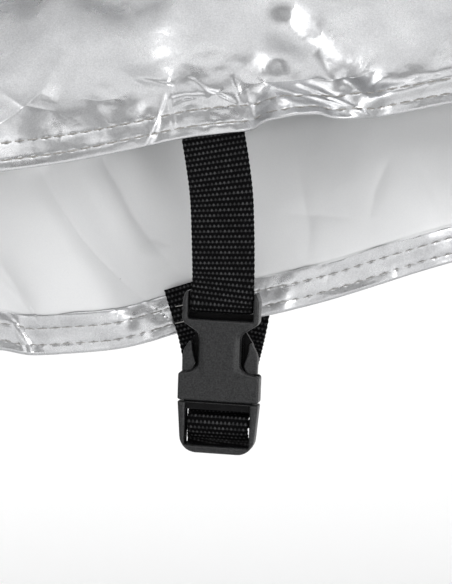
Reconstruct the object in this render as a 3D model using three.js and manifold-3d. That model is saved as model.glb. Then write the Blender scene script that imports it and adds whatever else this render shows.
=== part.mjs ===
// Fitted motorcycle cover, hanging in its fitted form, with its belly strap buckled.
// Millimetres, +Z up. +X is the front, -Y is the near side, +Y is the far side.
// The origin lies under the ridge cloth, straight above the belly strap.

import * as THREE from "three";
import { mergeVertices } from "three/addons/utils/BufferGeometryUtils.js";
import Module from "manifold-3d";

const wasm = await Module();
wasm.setup();

// Sides of the cover
const NEAR = -1;
const FAR = 1;

// Cloth, hem and seam. The seam runs along the ridge and down the front and rear centre lines,
// and both panels turn inward there.
const GAP = 0.3;
const CLOTH = 1.2;
const HEM_PLY = 1;
const HEM_FOLD = 20;
const SEAM_TURN = 11;
const SEAM_FADE = 80;
const MIDDLE_REACH = 600;
const RIDGE_LIFT = CLOTH / 2;

// Last section of each panel, on the front and rear centre lines
const END = 1200;

// Webbing
const WEB_WIDTH = 25.6;
const WEB_THICK = 1.4;
const PLY_PITCH = WEB_THICK + GAP;

// Sections of a side panel, from the rear centre line to the front one.
// Each is a curve from the ridge over the shoulder and the flank down to the hem.
// The Y values are distances out from the centre plane.
const SECTIONS = [
  { along: -1200, ridgeX: -900, ridgeZ: -60, shoulderX: -1060, shoulderY: 0, shoulderZ: -90,
    flankX: -1205, flankY: 0, flankZ: -440, hemX: -1135, hemY: 0 },
  { along: -1090, ridgeX: -860, ridgeZ: -38, shoulderX: -1000, shoulderY: 165, shoulderZ: -66,
    flankX: -1150, flankY: 240, flankZ: -440, hemX: -1085, hemY: 130 },
  { along: -900, ridgeX: -770, ridgeZ: -8, shoulderX: -830, shoulderY: 285, shoulderZ: -12,
    flankX: -930, flankY: 370, flankZ: -430, hemX: -905, hemY: 205 },
  { along: -640, ridgeX: -590, ridgeZ: 12, shoulderX: -600, shoulderY: 300, shoulderZ: 8,
    flankX: -640, flankY: 400, flankZ: -440, hemX: -640, hemY: 215 },
  { along: -330, ridgeX: -325, ridgeZ: -42, shoulderX: -327, shoulderY: 270, shoulderZ: -46,
    flankX: -330, flankY: 340, flankZ: -470, hemX: -330, hemY: 120 },
  { along: -120, ridgeX: -120, ridgeZ: -36, shoulderX: -120, shoulderY: 270, shoulderZ: -40,
    flankX: -120, flankY: 250, flankZ: -540, hemX: -120, hemY: 25 },
  { along: 0, ridgeX: 0, ridgeZ: 0, shoulderX: 0, shoulderY: 300, shoulderZ: 0,
    flankX: 0, flankY: 225, flankZ: -560, hemX: 0, hemY: 20 },
  { along: 120, ridgeX: 120, ridgeZ: 42, shoulderX: 120, shoulderY: 350, shoulderZ: 38,
    flankX: 120, flankY: 270, flankZ: -540, hemX: 120, hemY: 25 },
  { along: 330, ridgeX: 325, ridgeZ: 150, shoulderX: 327, shoulderY: 500, shoulderZ: 165,
    flankX: 330, flankY: 430, flankZ: -430, hemX: 330, hemY: 130 },
  { along: 560, ridgeX: 480, ridgeZ: 222, shoulderX: 500, shoulderY: 500, shoulderZ: 205,
    flankX: 570, flankY: 420, flankZ: -430, hemX: 590, hemY: 200 },
  { along: 820, ridgeX: 600, ridgeZ: 165, shoulderX: 690, shoulderY: 330, shoulderZ: 120,
    flankX: 850, flankY: 340, flankZ: -400, hemX: 860, hemY: 205 },
  { along: 1070, ridgeX: 700, ridgeZ: 70, shoulderX: 860, shoulderY: 190, shoulderZ: 20,
    flankX: 1100, flankY: 230, flankZ: -330, hemX: 1100, hemY: 130 },
  { along: 1200, ridgeX: 740, ridgeZ: 30, shoulderX: 900, shoulderY: 0, shoulderZ: -60,
    flankX: 1175, flankY: 0, flankZ: -260, hemX: 1165, hemY: 0 },
];

// Height of each hem's lower edge
const NEAR_HEM = [
  { along: -1200, z: -890 },
  { along: -1090, z: -893 },
  { along: -900, z: -902 },
  { along: -640, z: -884 },
  { along: -330, z: -846 },
  { along: -170, z: -826 },
  { along: -88, z: -815 },
  { along: -59, z: -811 },
  { along: -32, z: -805.7 },
  { along: -14, z: -801.8 },
  { along: 3, z: -799.7 },
  { along: 13, z: -798.6 },
  { along: 20, z: -795.4 },
  { along: 38, z: -792.9 },
  { along: 45, z: -794.5 },
  { along: 56, z: -794.5 },
  { along: 72, z: -791.8 },
  { along: 93, z: -787.8 },
  { along: 190, z: -776 },
  { along: 330, z: -778 },
  { along: 560, z: -815 },
  { along: 820, z: -862 },
  { along: 1070, z: -886 },
  { along: 1200, z: -890 },
];
const FAR_HEM = [
  { along: -1200, z: -890 },
  { along: -1090, z: -893 },
  { along: -900, z: -902 },
  { along: -640, z: -922 },
  { along: -330, z: -908 },
  { along: -170, z: -892 },
  { along: -120, z: -888 },
  { along: -92, z: -889.7 },
  { along: -80, z: -891.7 },
  { along: -62, z: -890.9 },
  { along: -44, z: -889.4 },
  { along: -32, z: -886.9 },
  { along: -18, z: -882.7 },
  { along: 0, z: -879.2 },
  { along: 18, z: -875.6 },
  { along: 45, z: -868.9 },
  { along: 98, z: -852.6 },
  { along: 190, z: -832 },
  { along: 330, z: -820 },
  { along: 560, z: -836 },
  { along: 820, z: -862 },
  { along: 1070, z: -886 },
  { along: 1200, z: -890 },
];

// The lowest cloth beside the strap hangs plumb, and takes the flank's slope higher up
const PLUMB_DROP = 230;
const PLUMB_REACH = 280;

// Broad folds: each runs between two places given by section and by level, from 0 at the hem
// to 1 at the ridge. A negative height is a trough.
const NEAR_FOLDS = [
  { along: 395, level: 0.7, toAlong: -260, toLevel: 0.64, width: 42, toWidth: 75, height: 24 },
  { along: 400, level: 0.66, toAlong: 60, toLevel: 0.16, width: 50, toWidth: 26, height: 24 },
  { along: 430, level: 0.64, toAlong: 740, toLevel: 0.04, width: 55, toWidth: 60, height: 22 },
  { along: 450, level: 0.69, toAlong: 930, toLevel: 0.4, width: 46, toWidth: 50, height: 20 },
  { along: 330, level: 0.5, toAlong: 250, toLevel: 0, width: 40, toWidth: 44, height: -16 },
  { along: 560, level: 0.46, toAlong: 560, toLevel: 0, width: 44, toWidth: 50, height: -18 },
  { along: 980, level: 0.5, toAlong: 1000, toLevel: 0, width: 42, toWidth: 50, height: 14 },
  { along: 860, level: 0.42, toAlong: 870, toLevel: 0, width: 36, toWidth: 42, height: -12 },
  { along: 150, level: 0.46, toAlong: 34, toLevel: 0.09, width: 34, toWidth: 14, height: 11 },
  { along: -150, level: 0.5, toAlong: -40, toLevel: 0.09, width: 38, toWidth: 16, height: 12 },
  { along: -640, level: 0.72, toAlong: -90, toLevel: 0.12, width: 55, toWidth: 28, height: 22 },
  { along: -420, level: 0.52, toAlong: -400, toLevel: 0, width: 44, toWidth: 50, height: 17 },
  { along: -560, level: 0.48, toAlong: -560, toLevel: 0, width: 40, toWidth: 44, height: -15 },
  { along: -760, level: 0.62, toAlong: -740, toLevel: 0, width: 46, toWidth: 52, height: 16 },
  { along: -930, level: 0.66, toAlong: -900, toLevel: 0, width: 42, toWidth: 46, height: -13 },
  { along: -1040, level: 0.7, toAlong: -1040, toLevel: 0, width: 40, toWidth: 46, height: 12 },
  { along: -620, level: 0.82, toAlong: -260, toLevel: 0.78, width: 40, toWidth: 50, height: -12 },
];
const FAR_FOLDS = [
  { along: 395, level: 0.7, toAlong: -200, toLevel: 0.6, width: 44, toWidth: 70, height: 22 },
  { along: 405, level: 0.66, toAlong: 90, toLevel: 0.2, width: 50, toWidth: 28, height: 22 },
  { along: 440, level: 0.65, toAlong: 700, toLevel: 0.03, width: 52, toWidth: 58, height: 20 },
  { along: 460, level: 0.7, toAlong: 900, toLevel: 0.44, width: 44, toWidth: 52, height: 18 },
  { along: 300, level: 0.46, toAlong: 290, toLevel: 0, width: 42, toWidth: 46, height: -15 },
  { along: 580, level: 0.5, toAlong: 540, toLevel: 0, width: 42, toWidth: 50, height: -16 },
  { along: 940, level: 0.52, toAlong: 960, toLevel: 0, width: 40, toWidth: 48, height: 13 },
  { along: -180, level: 0.5, toAlong: -110, toLevel: 0.16, width: 40, toWidth: 24, height: 12 },
  { along: -620, level: 0.7, toAlong: -180, toLevel: 0.2, width: 52, toWidth: 34, height: 20 },
  { along: -450, level: 0.5, toAlong: -430, toLevel: 0, width: 44, toWidth: 50, height: 16 },
  { along: -590, level: 0.46, toAlong: -600, toLevel: 0, width: 40, toWidth: 46, height: -14 },
  { along: -790, level: 0.6, toAlong: -780, toLevel: 0, width: 44, toWidth: 52, height: 15 },
  { along: -960, level: 0.64, toAlong: -950, toLevel: 0, width: 40, toWidth: 46, height: -12 },
];

// Creases beside the strap: the second place of each is given by section and by rise above the hem
const NEAR_CREASES = [
  { along: -30, rise: 70, toAlong: -28, toRise: 6, width: 9, toWidth: 7, height: 3.5 },
  { along: -62, rise: 75, toAlong: -84, toRise: 24, width: 14, toWidth: 12, height: -3 },
  { along: 24, rise: 36, toAlong: 22, toRise: 4, width: 7, toWidth: 6, height: -3 },
  { along: 26, rise: 50, toAlong: 58, toRise: 12, width: 8, toWidth: 8, height: 3.5 },
];
const FAR_CREASES = [
  { along: -96, rise: 100, toAlong: -40, toRise: 92, width: 48, toWidth: 42, height: -22 },
  { along: -70, rise: 82, toAlong: -32, toRise: 18, width: 9, toWidth: 8, height: 4.5 },
  { along: -46, rise: 84, toAlong: -29, toRise: 50, width: 8, toWidth: 8, height: 3 },
  { along: -96, rise: 38, toAlong: -80, toRise: 8, width: 10, toWidth: 9, height: 3.5 },
  { along: 60, rise: 90, toAlong: 88, toRise: 26, width: 18, toWidth: 20, height: -4 },
];

// Soft peaks where the cloth is stretched outward
const POKES = [
  { along: 400, level: 0.715, width: 62, height: 62 },
  { along: 520, level: 0.845, width: 60, height: 20 },
];

// The cloth stays flat where a strap is sewn to it
const SEWN_REACH = { along: 42, rise: 44 };

// Columns of the panels' nets: close together beside the strap, wide apart elsewhere
const WINDOW = 96;
const FINE_STEP = 8;
const COARSE_STEP = 32;
const WIDEST_STEP = 58;
const STEP_GROWTH = 1.35;

// Rows of the panels' nets: rises above the hem, and then shares of the rest of the section
const LOW_RISES = [0, 10, HEM_FOLD - 0.5, HEM_FOLD + 0.5, 34, 50, 68, 88, 112, 150, 200];
const FINE_ROWS = 9;
const HIGH_ROWS = 13;
const BASE_RISE = LOW_RISES[LOW_RISES.length - 1];

function smoothstep(low, high, value) {
  const share = Math.min(1, Math.max(0, (value - low) / (high - low)));
  return share * share * (3 - 2 * share);
}

// Smooth curve through one column of a table, at a given section
function tableSlope(table, name, row) {
  const before = table[Math.max(0, row - 1)];
  const after = table[Math.min(table.length - 1, row + 1)];
  return (after[name] - before[name]) / (after.along - before.along);
}

function readTable(table, name, along) {
  let row = 0;
  while (row < table.length - 2 && along > table[row + 1].along) row += 1;
  const from = table[row];
  const to = table[row + 1];
  const span = to.along - from.along;
  const share = (along - from.along) / span;
  const square = share * share;
  const cube = square * share;
  return (2 * cube - 3 * square + 1) * from[name] +
    (cube - 2 * square + share) * span * tableSlope(table, name, row) +
    (3 * square - 2 * cube) * to[name] +
    (cube - square) * span * tableSlope(table, name, row + 1);
}

// Section curve of one side, with its points measured along it from the hem
const SECTION_STEPS = 48;
const sectionCache = new Map();

function sectionAt(side, along) {
  const key = `${side} ${along.toFixed(3)}`;
  if (sectionCache.has(key)) return sectionCache.get(key);
  const read = (name) => readTable(SECTIONS, name, along);
  const hemZ = readTable(side === NEAR ? NEAR_HEM : FAR_HEM, "z", along);
  const hem = new THREE.Vector3(read("hemX"), side * read("hemY"), hemZ);
  const flank = new THREE.Vector3(read("flankX"), side * read("flankY"), read("flankZ"));
  const shoulder = new THREE.Vector3(
    read("shoulderX"), side * read("shoulderY"), read("shoulderZ") + RIDGE_LIFT);
  const ridge = new THREE.Vector3(read("ridgeX"), 0, read("ridgeZ") + RIDGE_LIFT);
  const points = new THREE.CubicBezierCurve3(hem, flank, shoulder, ridge).getPoints(SECTION_STEPS);
  const rises = [0];
  for (let step = 1; step <= SECTION_STEPS; step += 1) {
    rises.push(rises[step - 1] + points[step].distanceTo(points[step - 1]));
  }
  const section = { points, rises, length: rises[SECTION_STEPS] };
  sectionCache.set(key, section);
  return section;
}

function pointOnSection(section, rise) {
  let step = 0;
  while (step < SECTION_STEPS - 1 && rise > section.rises[step + 1]) step += 1;
  const share = (rise - section.rises[step]) / (section.rises[step + 1] - section.rises[step]);
  return section.points[step].clone().lerp(section.points[step + 1], share);
}

// Cloth without its folds
function plainCloth(side, along, rise) {
  const section = sectionAt(side, along);
  const point = pointOnSection(section, rise);
  const plumb = Math.exp(-((along / PLUMB_REACH) ** 2));
  const hemY = section.points[0].y;
  const slope = 1 - plumb * (1 - smoothstep(0, PLUMB_DROP, rise));
  point.y = hemY + (point.y - hemY) * slope;
  return point;
}

const PROBE = 3;

function plainNormal(side, along, rise) {
  const highest = sectionAt(side, along).length;
  const lengthwise = plainCloth(side, Math.min(END, along + PROBE), rise)
    .sub(plainCloth(side, Math.max(-END, along - PROBE), rise));
  const upward = plainCloth(side, along, Math.min(highest, rise + PROBE))
    .sub(plainCloth(side, along, Math.max(0, rise - PROBE)));
  return lengthwise.cross(upward).multiplyScalar(-side).normalize();
}

// Height of one soft ridge at a place, both in millimetres
function ridgeHeight(across, up, ridge) {
  const spanAcross = ridge.toAcross - ridge.across;
  const spanUp = ridge.toUp - ridge.up;
  const reach = (across - ridge.across) * spanAcross + (up - ridge.up) * spanUp;
  const share = Math.min(1, Math.max(0, reach / (spanAcross ** 2 + spanUp ** 2)));
  const offAcross = across - ridge.across - share * spanAcross;
  const offUp = up - ridge.up - share * spanUp;
  const width = ridge.width + share * (ridge.toWidth - ridge.width);
  return ridge.height * Math.exp(-(offAcross ** 2 + offUp ** 2) / width ** 2);
}

// 1 on the seam, falling to 0 away from it. The seam is measured to along the section in the
// middle of the cover, and across the centre plane at its ends.
function seamCloseness(side, along, rise) {
  const fromSeam = Math.abs(along) < MIDDLE_REACH
    ? Math.abs(sectionAt(side, along).length - rise)
    : Math.abs(plainCloth(side, along, rise).y);
  return 1 - smoothstep(0, SEAM_FADE, fromSeam);
}

function foldHeight(side, along, rise, length) {
  let height = 0;
  for (const fold of side === NEAR ? NEAR_FOLDS : FAR_FOLDS) {
    height += ridgeHeight(along, rise, {
      ...fold,
      across: fold.along,
      up: fold.level * length,
      toAcross: fold.toAlong,
      toUp: fold.toLevel * length,
    });
  }
  for (const poke of POKES) {
    const off = (along - poke.along) ** 2 + (rise - poke.level * length) ** 2;
    height += poke.height * Math.exp(-off / poke.width ** 2);
  }
  for (const crease of side === NEAR ? NEAR_CREASES : FAR_CREASES) {
    height += ridgeHeight(along, rise, {
      ...crease,
      across: crease.along,
      up: crease.rise,
      toAcross: crease.toAlong,
      toUp: crease.toRise,
    });
  }
  const beyondStrap = Math.max(
    smoothstep(SEWN_REACH.along * 0.65, SEWN_REACH.along, Math.abs(along)),
    smoothstep(SEWN_REACH.rise * 0.65, SEWN_REACH.rise, rise));
  return height * beyondStrap * (1 - seamCloseness(side, along, rise));
}

function clothPoint(side, along, rise) {
  const height = foldHeight(side, along, rise, sectionAt(side, along).length);
  const point = plainCloth(side, along, rise);
  if (Math.abs(height) < 0.001) return point;
  return point.addScaledVector(plainNormal(side, along, rise), height);
}

// Net of a panel: columns and rows
function outerColumns() {
  const columns = [];
  let step = FINE_STEP * STEP_GROWTH;
  let along = WINDOW + step;
  while (along < END - WIDEST_STEP / 2) {
    columns.push(along);
    step = Math.min(WIDEST_STEP, step * STEP_GROWTH);
    along += step;
  }
  columns.push(END);
  return columns;
}

function panelColumns(windowStep) {
  const outer = outerColumns();
  const inner = [];
  for (let along = -WINDOW; along <= WINDOW; along += windowStep) inner.push(along);
  return [...outer.map((along) => -along).reverse(), ...inner, ...outer];
}

function panelRows(side) {
  const fine = panelColumns(FINE_STEP);
  const coarse = panelColumns(COARSE_STEP);
  const rows = LOW_RISES.map((rise, index) => ({
    columns: index < FINE_ROWS ? fine : coarse,
    riseAt: () => rise,
  }));
  for (let step = 1; step <= HIGH_ROWS; step += 1) {
    const share = step / HIGH_ROWS;
    rows.push({ columns: coarse, riseAt: (length) => BASE_RISE + (length - BASE_RISE) * share });
  }
  return rows.map(({ columns, riseAt }) => columns.map((along) => {
    const rise = riseAt(sectionAt(side, along).length);
    return { along, rise, point: clothPoint(side, along, rise) };
  }));
}

// Triangles between two rows of a net that may have different columns
function zipRows(lower, upper, faces) {
  let low = 0;
  let high = 0;
  while (low < lower.length - 1 || high < upper.length - 1) {
    const nextLow = lower[low + 1];
    const nextHigh = upper[high + 1];
    const lowSpan = nextLow ? Math.abs(nextLow.along - upper[high].along) : Infinity;
    const highSpan = nextHigh ? Math.abs(nextHigh.along - lower[low].along) : Infinity;
    if (lowSpan <= highSpan) {
      faces.push([lower[low].index, nextLow.index, upper[high].index]);
      low += 1;
    } else {
      faces.push([lower[low].index, nextHigh.index, upper[high].index]);
      high += 1;
    }
  }
}

function geometryFrom(points, faces) {
  const geometry = new THREE.BufferGeometry();
  geometry.setAttribute("position", new THREE.Float32BufferAttribute(points.flatMap((p) => [...p]), 3));
  geometry.setIndex(faces.flat());
  geometry.computeVertexNormals();
  return geometry;
}

// Knots of the seam from the front hem up, back along the ridge, and down to the rear hem.
// Each is put beside the centre plane, with its thickness mitred towards the turned-in edge.
function seamKnots(side, rows) {
  const top = rows[rows.length - 1];
  const seam = [
    ...rows.map((row) => row[row.length - 1]),
    ...top.slice(1, -1).reverse(),
    ...rows.map((row) => row[0]).reverse(),
  ];
  const facing = new THREE.Vector3(0, -side, 0);
  for (const knot of seam) {
    knot.point.y = side * (GAP + CLOTH) / 2;
    knot.offset = knot.normal.clone().add(facing)
      .multiplyScalar(CLOTH / 2 / (1 + knot.normal.dot(facing)));
    knot.onSeam = true;
  }
  return seam;
}

// Knots of the turned-in edge, which stands square to the ridge or the centre line
function turnedKnots(side, seam) {
  const offset = new THREE.Vector3(0, -side * CLOTH / 2, 0);
  return seam.map((knot, place) => {
    const before = seam[Math.max(0, place - 1)].point;
    const after = seam[Math.min(seam.length - 1, place + 1)].point;
    const inward = new THREE.Vector3(before.z - after.z, 0, after.x - before.x).normalize();
    return { point: knot.point.clone().addScaledVector(inward, SEAM_TURN), offset, onSeam: true };
  });
}

// Closed sheet: an outer and an inner face on the net, and a rim along its edges
function sidePanel(side) {
  const rows = panelRows(side);
  const knots = rows.flat();
  knots.forEach((knot, index) => { knot.index = index; });
  const outward = [];
  for (let row = 0; row < rows.length - 1; row += 1) zipRows(rows[row], rows[row + 1], outward);

  const middle = geometryFrom(knots.map((knot) => knot.point), outward).getAttribute("normal");
  for (const knot of knots) {
    knot.normal = new THREE.Vector3().fromBufferAttribute(middle, knot.index).multiplyScalar(-side);
    knot.offset = knot.normal.clone().multiplyScalar(CLOTH / 2);
  }

  const seam = seamKnots(side, rows);
  const turned = turnedKnots(side, seam);
  turned.forEach((knot) => { knot.index = knots.push(knot) - 1; });
  seam.slice(0, -1).forEach((knot, place) => {
    const next = seam[place + 1].index;
    outward.push(
      [next, knot.index, turned[place].index],
      [next, turned[place].index, turned[place + 1].index]);
  });

  const outer = knots.map((knot) => knot.point.clone().add(knot.offset));
  const inner = knots.map((knot) => {
    const point = knot.point.clone().sub(knot.offset);
    return knot.rise < HEM_FOLD && !knot.onSeam ? point.addScaledVector(knot.normal, -HEM_PLY) : point;
  });
  const count = knots.length;
  const closed = [...outward, ...outward.map(([a, b, c]) => [a + count, c + count, b + count])];
  const rim = [...rows[0], ...turned].map((knot) => knot.index);
  rim.forEach((from, place) => {
    const to = rim[(place + 1) % rim.length];
    closed.push([from, from + count, to], [to, from + count, to + count]);
  });
  const points = [...outer, ...inner];
  for (const point of points) point.y = side * Math.max(GAP / 2, side * point.y);
  return geometryFrom(points, side === NEAR ? closed : closed.map(([a, b, c]) => [a, c, b]));
}

// Buckle: its own frame has X across, Y into the depth, Z up, and the origin in the middle
// of the joint line between the two halves.
const BUCKLE_PLACE = new THREE.Vector3(-0.1, -6, -908.3);
const BUCKLE_TURN = { pitch: 3, roll: 2.6, yaw: -10 };
const BODY_DEPTH = 8.4;
const FRAME_DEPTH = 7.6;
const HOLLOW_DEPTH = 4.6;
const INNER_DEPTH = 4;
const BODY_HALF = 16.7;
const WINDOW_HALF = 13.3;
const LOOP_BAR = { y: 0, z: 39.8, radius: 1.9 };
const ADJUSTER_BAR = { y: 1, z: -8.8, radius: 1.8 };
const BAR_SIDES = 20;
const WRAP_GAP = 0.35;

// Right half of each outline, from the bottom up, with the corner's radius
const BODY_OUTLINE = [
  { x: BODY_HALF, z: 0.3, radius: 0.8 },
  { x: BODY_HALF, z: 11.4, radius: 1.4 },
  { x: 9, z: 12.9, radius: 4.4 },
  { x: 9, z: 28.2, radius: 3.4 },
  { x: 15.7, z: 32.4, radius: 3 },
  { x: 15.7, z: 42, radius: 2.4 },
  { x: 14.5, z: 44.9, radius: 0.9 },
  { x: 13.4, z: 44.9, radius: 0.3 },
  { x: 13.4, z: 33.6, radius: 0.8 },
];
const GUARD_OUTLINE = [
  { x: 14.4, z: 9.5, radius: 0 },
  { x: 14.7, z: 17.5, radius: 6 },
  { x: 12.8, z: 24, radius: 4 },
  { x: 9, z: 29.8, radius: 0.5 },
];
const GUARD = { y: 3.3, depth: 1.7 };
const THROAT_OUTLINE = [
  { x: 13.7, z: 32, radius: 0 },
  { x: 13.7, z: 36.1, radius: 0 },
];
const THROAT = { y: 2.9, depth: 2.2 };
const HOLLOW_OUTLINE = [
  { x: 14.4, z: -1, radius: 0 },
  { x: 14.4, z: 11.2, radius: 0 },
  { x: 18, z: 11.2, radius: 0 },
  { x: 18, z: 27, radius: 0 },
  { x: 11.6, z: 30.4, radius: 0 },
];
const FRAME_OUTLINE = [
  { x: 15, z: -21.4, radius: 7 },
  { x: BODY_HALF, z: -0.4, radius: 0.6 },
];
const FRAME_WINDOW = [
  { x: WINDOW_HALF, z: -18.3, radius: 0.8 },
  { x: WINDOW_HALF, z: -0.9, radius: 0.4 },
];
const CROSSBAR_OUTLINE = [
  { x: 14.1, z: -3.6, radius: 0 },
  { x: 14.1, z: 3, radius: 0 },
  { x: 3.2, z: 3, radius: 0 },
  { x: 3.2, z: 26, radius: 1.6 },
];
const ARM_OUTLINE = [
  { x: 11.3, z: 3.4, radius: 0.9 },
  { x: 13.5, z: 3.4, radius: 0.9 },
  { x: 13.6, z: 11.2, radius: 0 },
  { x: 15.5, z: 12, radius: 0.4 },
  { x: 15.6, z: 19.6, radius: 8 },
  { x: 12, z: 25.8, radius: 0.6 },
  { x: 11.6, z: 20.6, radius: 1 },
  { x: 9.9, z: 15.2, radius: 1 },
  { x: 11.3, z: 11.6, radius: 1 },
];
const CORNER_STEPS = 5;

function roundedLoop(corners) {
  const loop = [];
  corners.forEach((corner, place) => {
    const here = new THREE.Vector2(corner.x, corner.z);
    if (!corner.radius) {
      loop.push(here);
      return;
    }
    const before = corners[(place + corners.length - 1) % corners.length];
    const after = corners[(place + 1) % corners.length];
    const back = new THREE.Vector2(before.x, before.z).sub(here).normalize();
    const ahead = new THREE.Vector2(after.x, after.z).sub(here).normalize();
    const half = Math.acos(THREE.MathUtils.clamp(back.dot(ahead), -1, 1)) / 2;
    const centre = back.clone().add(ahead).normalize()
      .multiplyScalar(corner.radius / Math.sin(half)).add(here);
    const reach = corner.radius / Math.tan(half);
    const start = here.clone().addScaledVector(back, reach).sub(centre).angle();
    const finish = here.clone().addScaledVector(ahead, reach).sub(centre).angle();
    let sweep = finish - start;
    if (sweep > Math.PI) sweep -= 2 * Math.PI;
    if (sweep < -Math.PI) sweep += 2 * Math.PI;
    for (let step = 0; step <= CORNER_STEPS; step += 1) {
      const angle = start + sweep * step / CORNER_STEPS;
      loop.push(new THREE.Vector2(Math.cos(angle), Math.sin(angle))
        .multiplyScalar(corner.radius).add(centre));
    }
  });
  return loop;
}

function bothHalves(half) {
  return [...half, ...half.map((corner) => ({ ...corner, x: -corner.x })).reverse()];
}

// Plate with its outline in the buckle's front view, centred on a plane at a given depth
function plate(corners, depth, y = 0) {
  const geometry = new THREE.ExtrudeGeometry(new THREE.Shape(roundedLoop(corners)), {
    depth,
    bevelEnabled: false,
  });
  geometry.translate(0, 0, -depth / 2);
  return geometry.rotateX(Math.PI / 2).translate(0, y, 0);
}

function bar(place, halfLength) {
  const geometry = new THREE.CylinderGeometry(place.radius, place.radius, 2 * halfLength, BAR_SIDES);
  geometry.rotateZ(Math.PI / 2);
  return geometry.translate(0, place.y, place.z);
}

function solid(geometry) {
  const bare = geometry.clone();
  bare.deleteAttribute("normal");
  bare.deleteAttribute("uv");
  const merged = mergeVertices(bare, 1e-4);
  return new wasm.Manifold(new wasm.Mesh({
    numProp: 3,
    vertProperties: new Float32Array(merged.getAttribute("position").array),
    triVerts: new Uint32Array(merged.getIndex().array),
  }));
}

function fromSolid(body) {
  const mesh = body.getMesh();
  const geometry = new THREE.BufferGeometry();
  geometry.setAttribute("position", new THREE.BufferAttribute(new Float32Array(mesh.vertProperties), 3));
  geometry.setIndex(Array.from(mesh.triVerts));
  geometry.computeVertexNormals();
  return geometry;
}

function buckleBody() {
  return fromSolid(solid(plate(bothHalves(BODY_OUTLINE), BODY_DEPTH))
    .subtract(solid(plate(bothHalves(HOLLOW_OUTLINE), HOLLOW_DEPTH)))
    .add(solid(plate(bothHalves(GUARD_OUTLINE), GUARD.depth, GUARD.y)))
    .add(solid(plate(bothHalves(THROAT_OUTLINE), THROAT.depth, THROAT.y)))
    .add(solid(bar(LOOP_BAR, WINDOW_HALF + 0.5))));
}

function buckleFrame() {
  return fromSolid(solid(plate(bothHalves(FRAME_OUTLINE), FRAME_DEPTH))
    .subtract(solid(plate(bothHalves(FRAME_WINDOW), FRAME_DEPTH + 1)))
    .add(solid(plate(bothHalves(CROSSBAR_OUTLINE), INNER_DEPTH)))
    .add(solid(bar(ADJUSTER_BAR, WINDOW_HALF + 0.5))));
}

function releaseArm(hand) {
  const corners = ARM_OUTLINE.map((corner) => ({ ...corner, x: hand * corner.x }));
  return plate(hand > 0 ? corners : corners.reverse(), INNER_DEPTH);
}

const buckle = new THREE.Group();
buckle.position.copy(BUCKLE_PLACE);
buckle.rotation.set(
  THREE.MathUtils.degToRad(BUCKLE_TURN.pitch),
  THREE.MathUtils.degToRad(BUCKLE_TURN.roll),
  THREE.MathUtils.degToRad(BUCKLE_TURN.yaw),
  "ZYX");
buckle.updateMatrixWorld(true);

// Straps: flat webbing along hand-laid stations. Each station has the middle of the webbing,
// the lean of its width in the front view and its yaw, both in degrees.
function station(x, y, z, lean, yaw) {
  const tilt = THREE.MathUtils.degToRad(lean);
  const turn = THREE.MathUtils.degToRad(yaw);
  const across = new THREE.Vector3(
    Math.cos(tilt) * Math.cos(turn), Math.cos(tilt) * Math.sin(turn), Math.sin(tilt));
  return { middle: new THREE.Vector3(x, y, z), across };
}

function buckleStation(y, z, x = 0) {
  return {
    middle: new THREE.Vector3(x, y, z).applyMatrix4(buckle.matrixWorld),
    across: new THREE.Vector3(1, 0, 0).transformDirection(buckle.matrixWorld),
  };
}

// Stations round the lower or the front side of a bar, between two angles in degrees
function wrapBar(place, from, to, steps) {
  const reach = place.radius + WRAP_GAP + WEB_THICK / 2;
  const stations = [];
  for (let step = 0; step <= steps; step += 1) {
    const angle = THREE.MathUtils.degToRad(from + (to - from) * step / steps);
    stations.push(buckleStation(place.y + reach * Math.cos(angle), place.z + reach * Math.sin(angle)));
  }
  return stations;
}

function webbing(stations) {
  const points = [];
  stations.forEach(({ middle, across }, place) => {
    const before = stations[Math.max(0, place - 1)].middle;
    const after = stations[Math.min(stations.length - 1, place + 1)].middle;
    const face = after.clone().sub(before).cross(across).normalize().multiplyScalar(WEB_THICK / 2);
    const side = across.clone().multiplyScalar(WEB_WIDTH / 2);
    points.push(
      middle.clone().sub(side).sub(face),
      middle.clone().add(side).sub(face),
      middle.clone().add(side).add(face),
      middle.clone().sub(side).add(face));
  });
  const faces = [[0, 1, 2], [0, 2, 3]];
  for (let place = 0; place < stations.length - 1; place += 1) {
    for (let corner = 0; corner < 4; corner += 1) {
      const here = place * 4 + corner;
      const next = place * 4 + (corner + 1) % 4;
      faces.push([here, here + 4, next], [next, here + 4, next + 4]);
    }
  }
  const tip = (stations.length - 1) * 4;
  faces.push([tip, tip + 2, tip + 1], [tip, tip + 3, tip + 2]);
  return geometryFrom(points, faces.map(([a, b, c]) => [a, c, b]));
}

// Near strap: two plies from behind the near hem, looped through the buckle body
const NEAR_SEWN_Y = -17;
const nearFront = [
  station(-5.4, NEAR_SEWN_Y, -778, 8, 0),
  station(-3.9, NEAR_SEWN_Y, -789, 8, 0),
  station(-2.4, NEAR_SEWN_Y, -800, 8, 0),
  station(-0.5, -16.7, -812, 7, 0),
  station(1, -16.1, -824.5, 3, -1),
  station(1.5, -14.9, -837, 0, -3),
  station(1.7, -13.6, -849, -1, -6),
  station(1.7, -12.6, -858, -2, -9),
];
const nearBack = nearFront.map(({ middle, across }) => ({
  middle: middle.clone().add(new THREE.Vector3(0, PLY_PITCH, 0)),
  across,
})).reverse();
const nearStrap = [...nearFront, ...wrapBar(LOOP_BAR, 180, 390, 9), ...nearBack];

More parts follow.
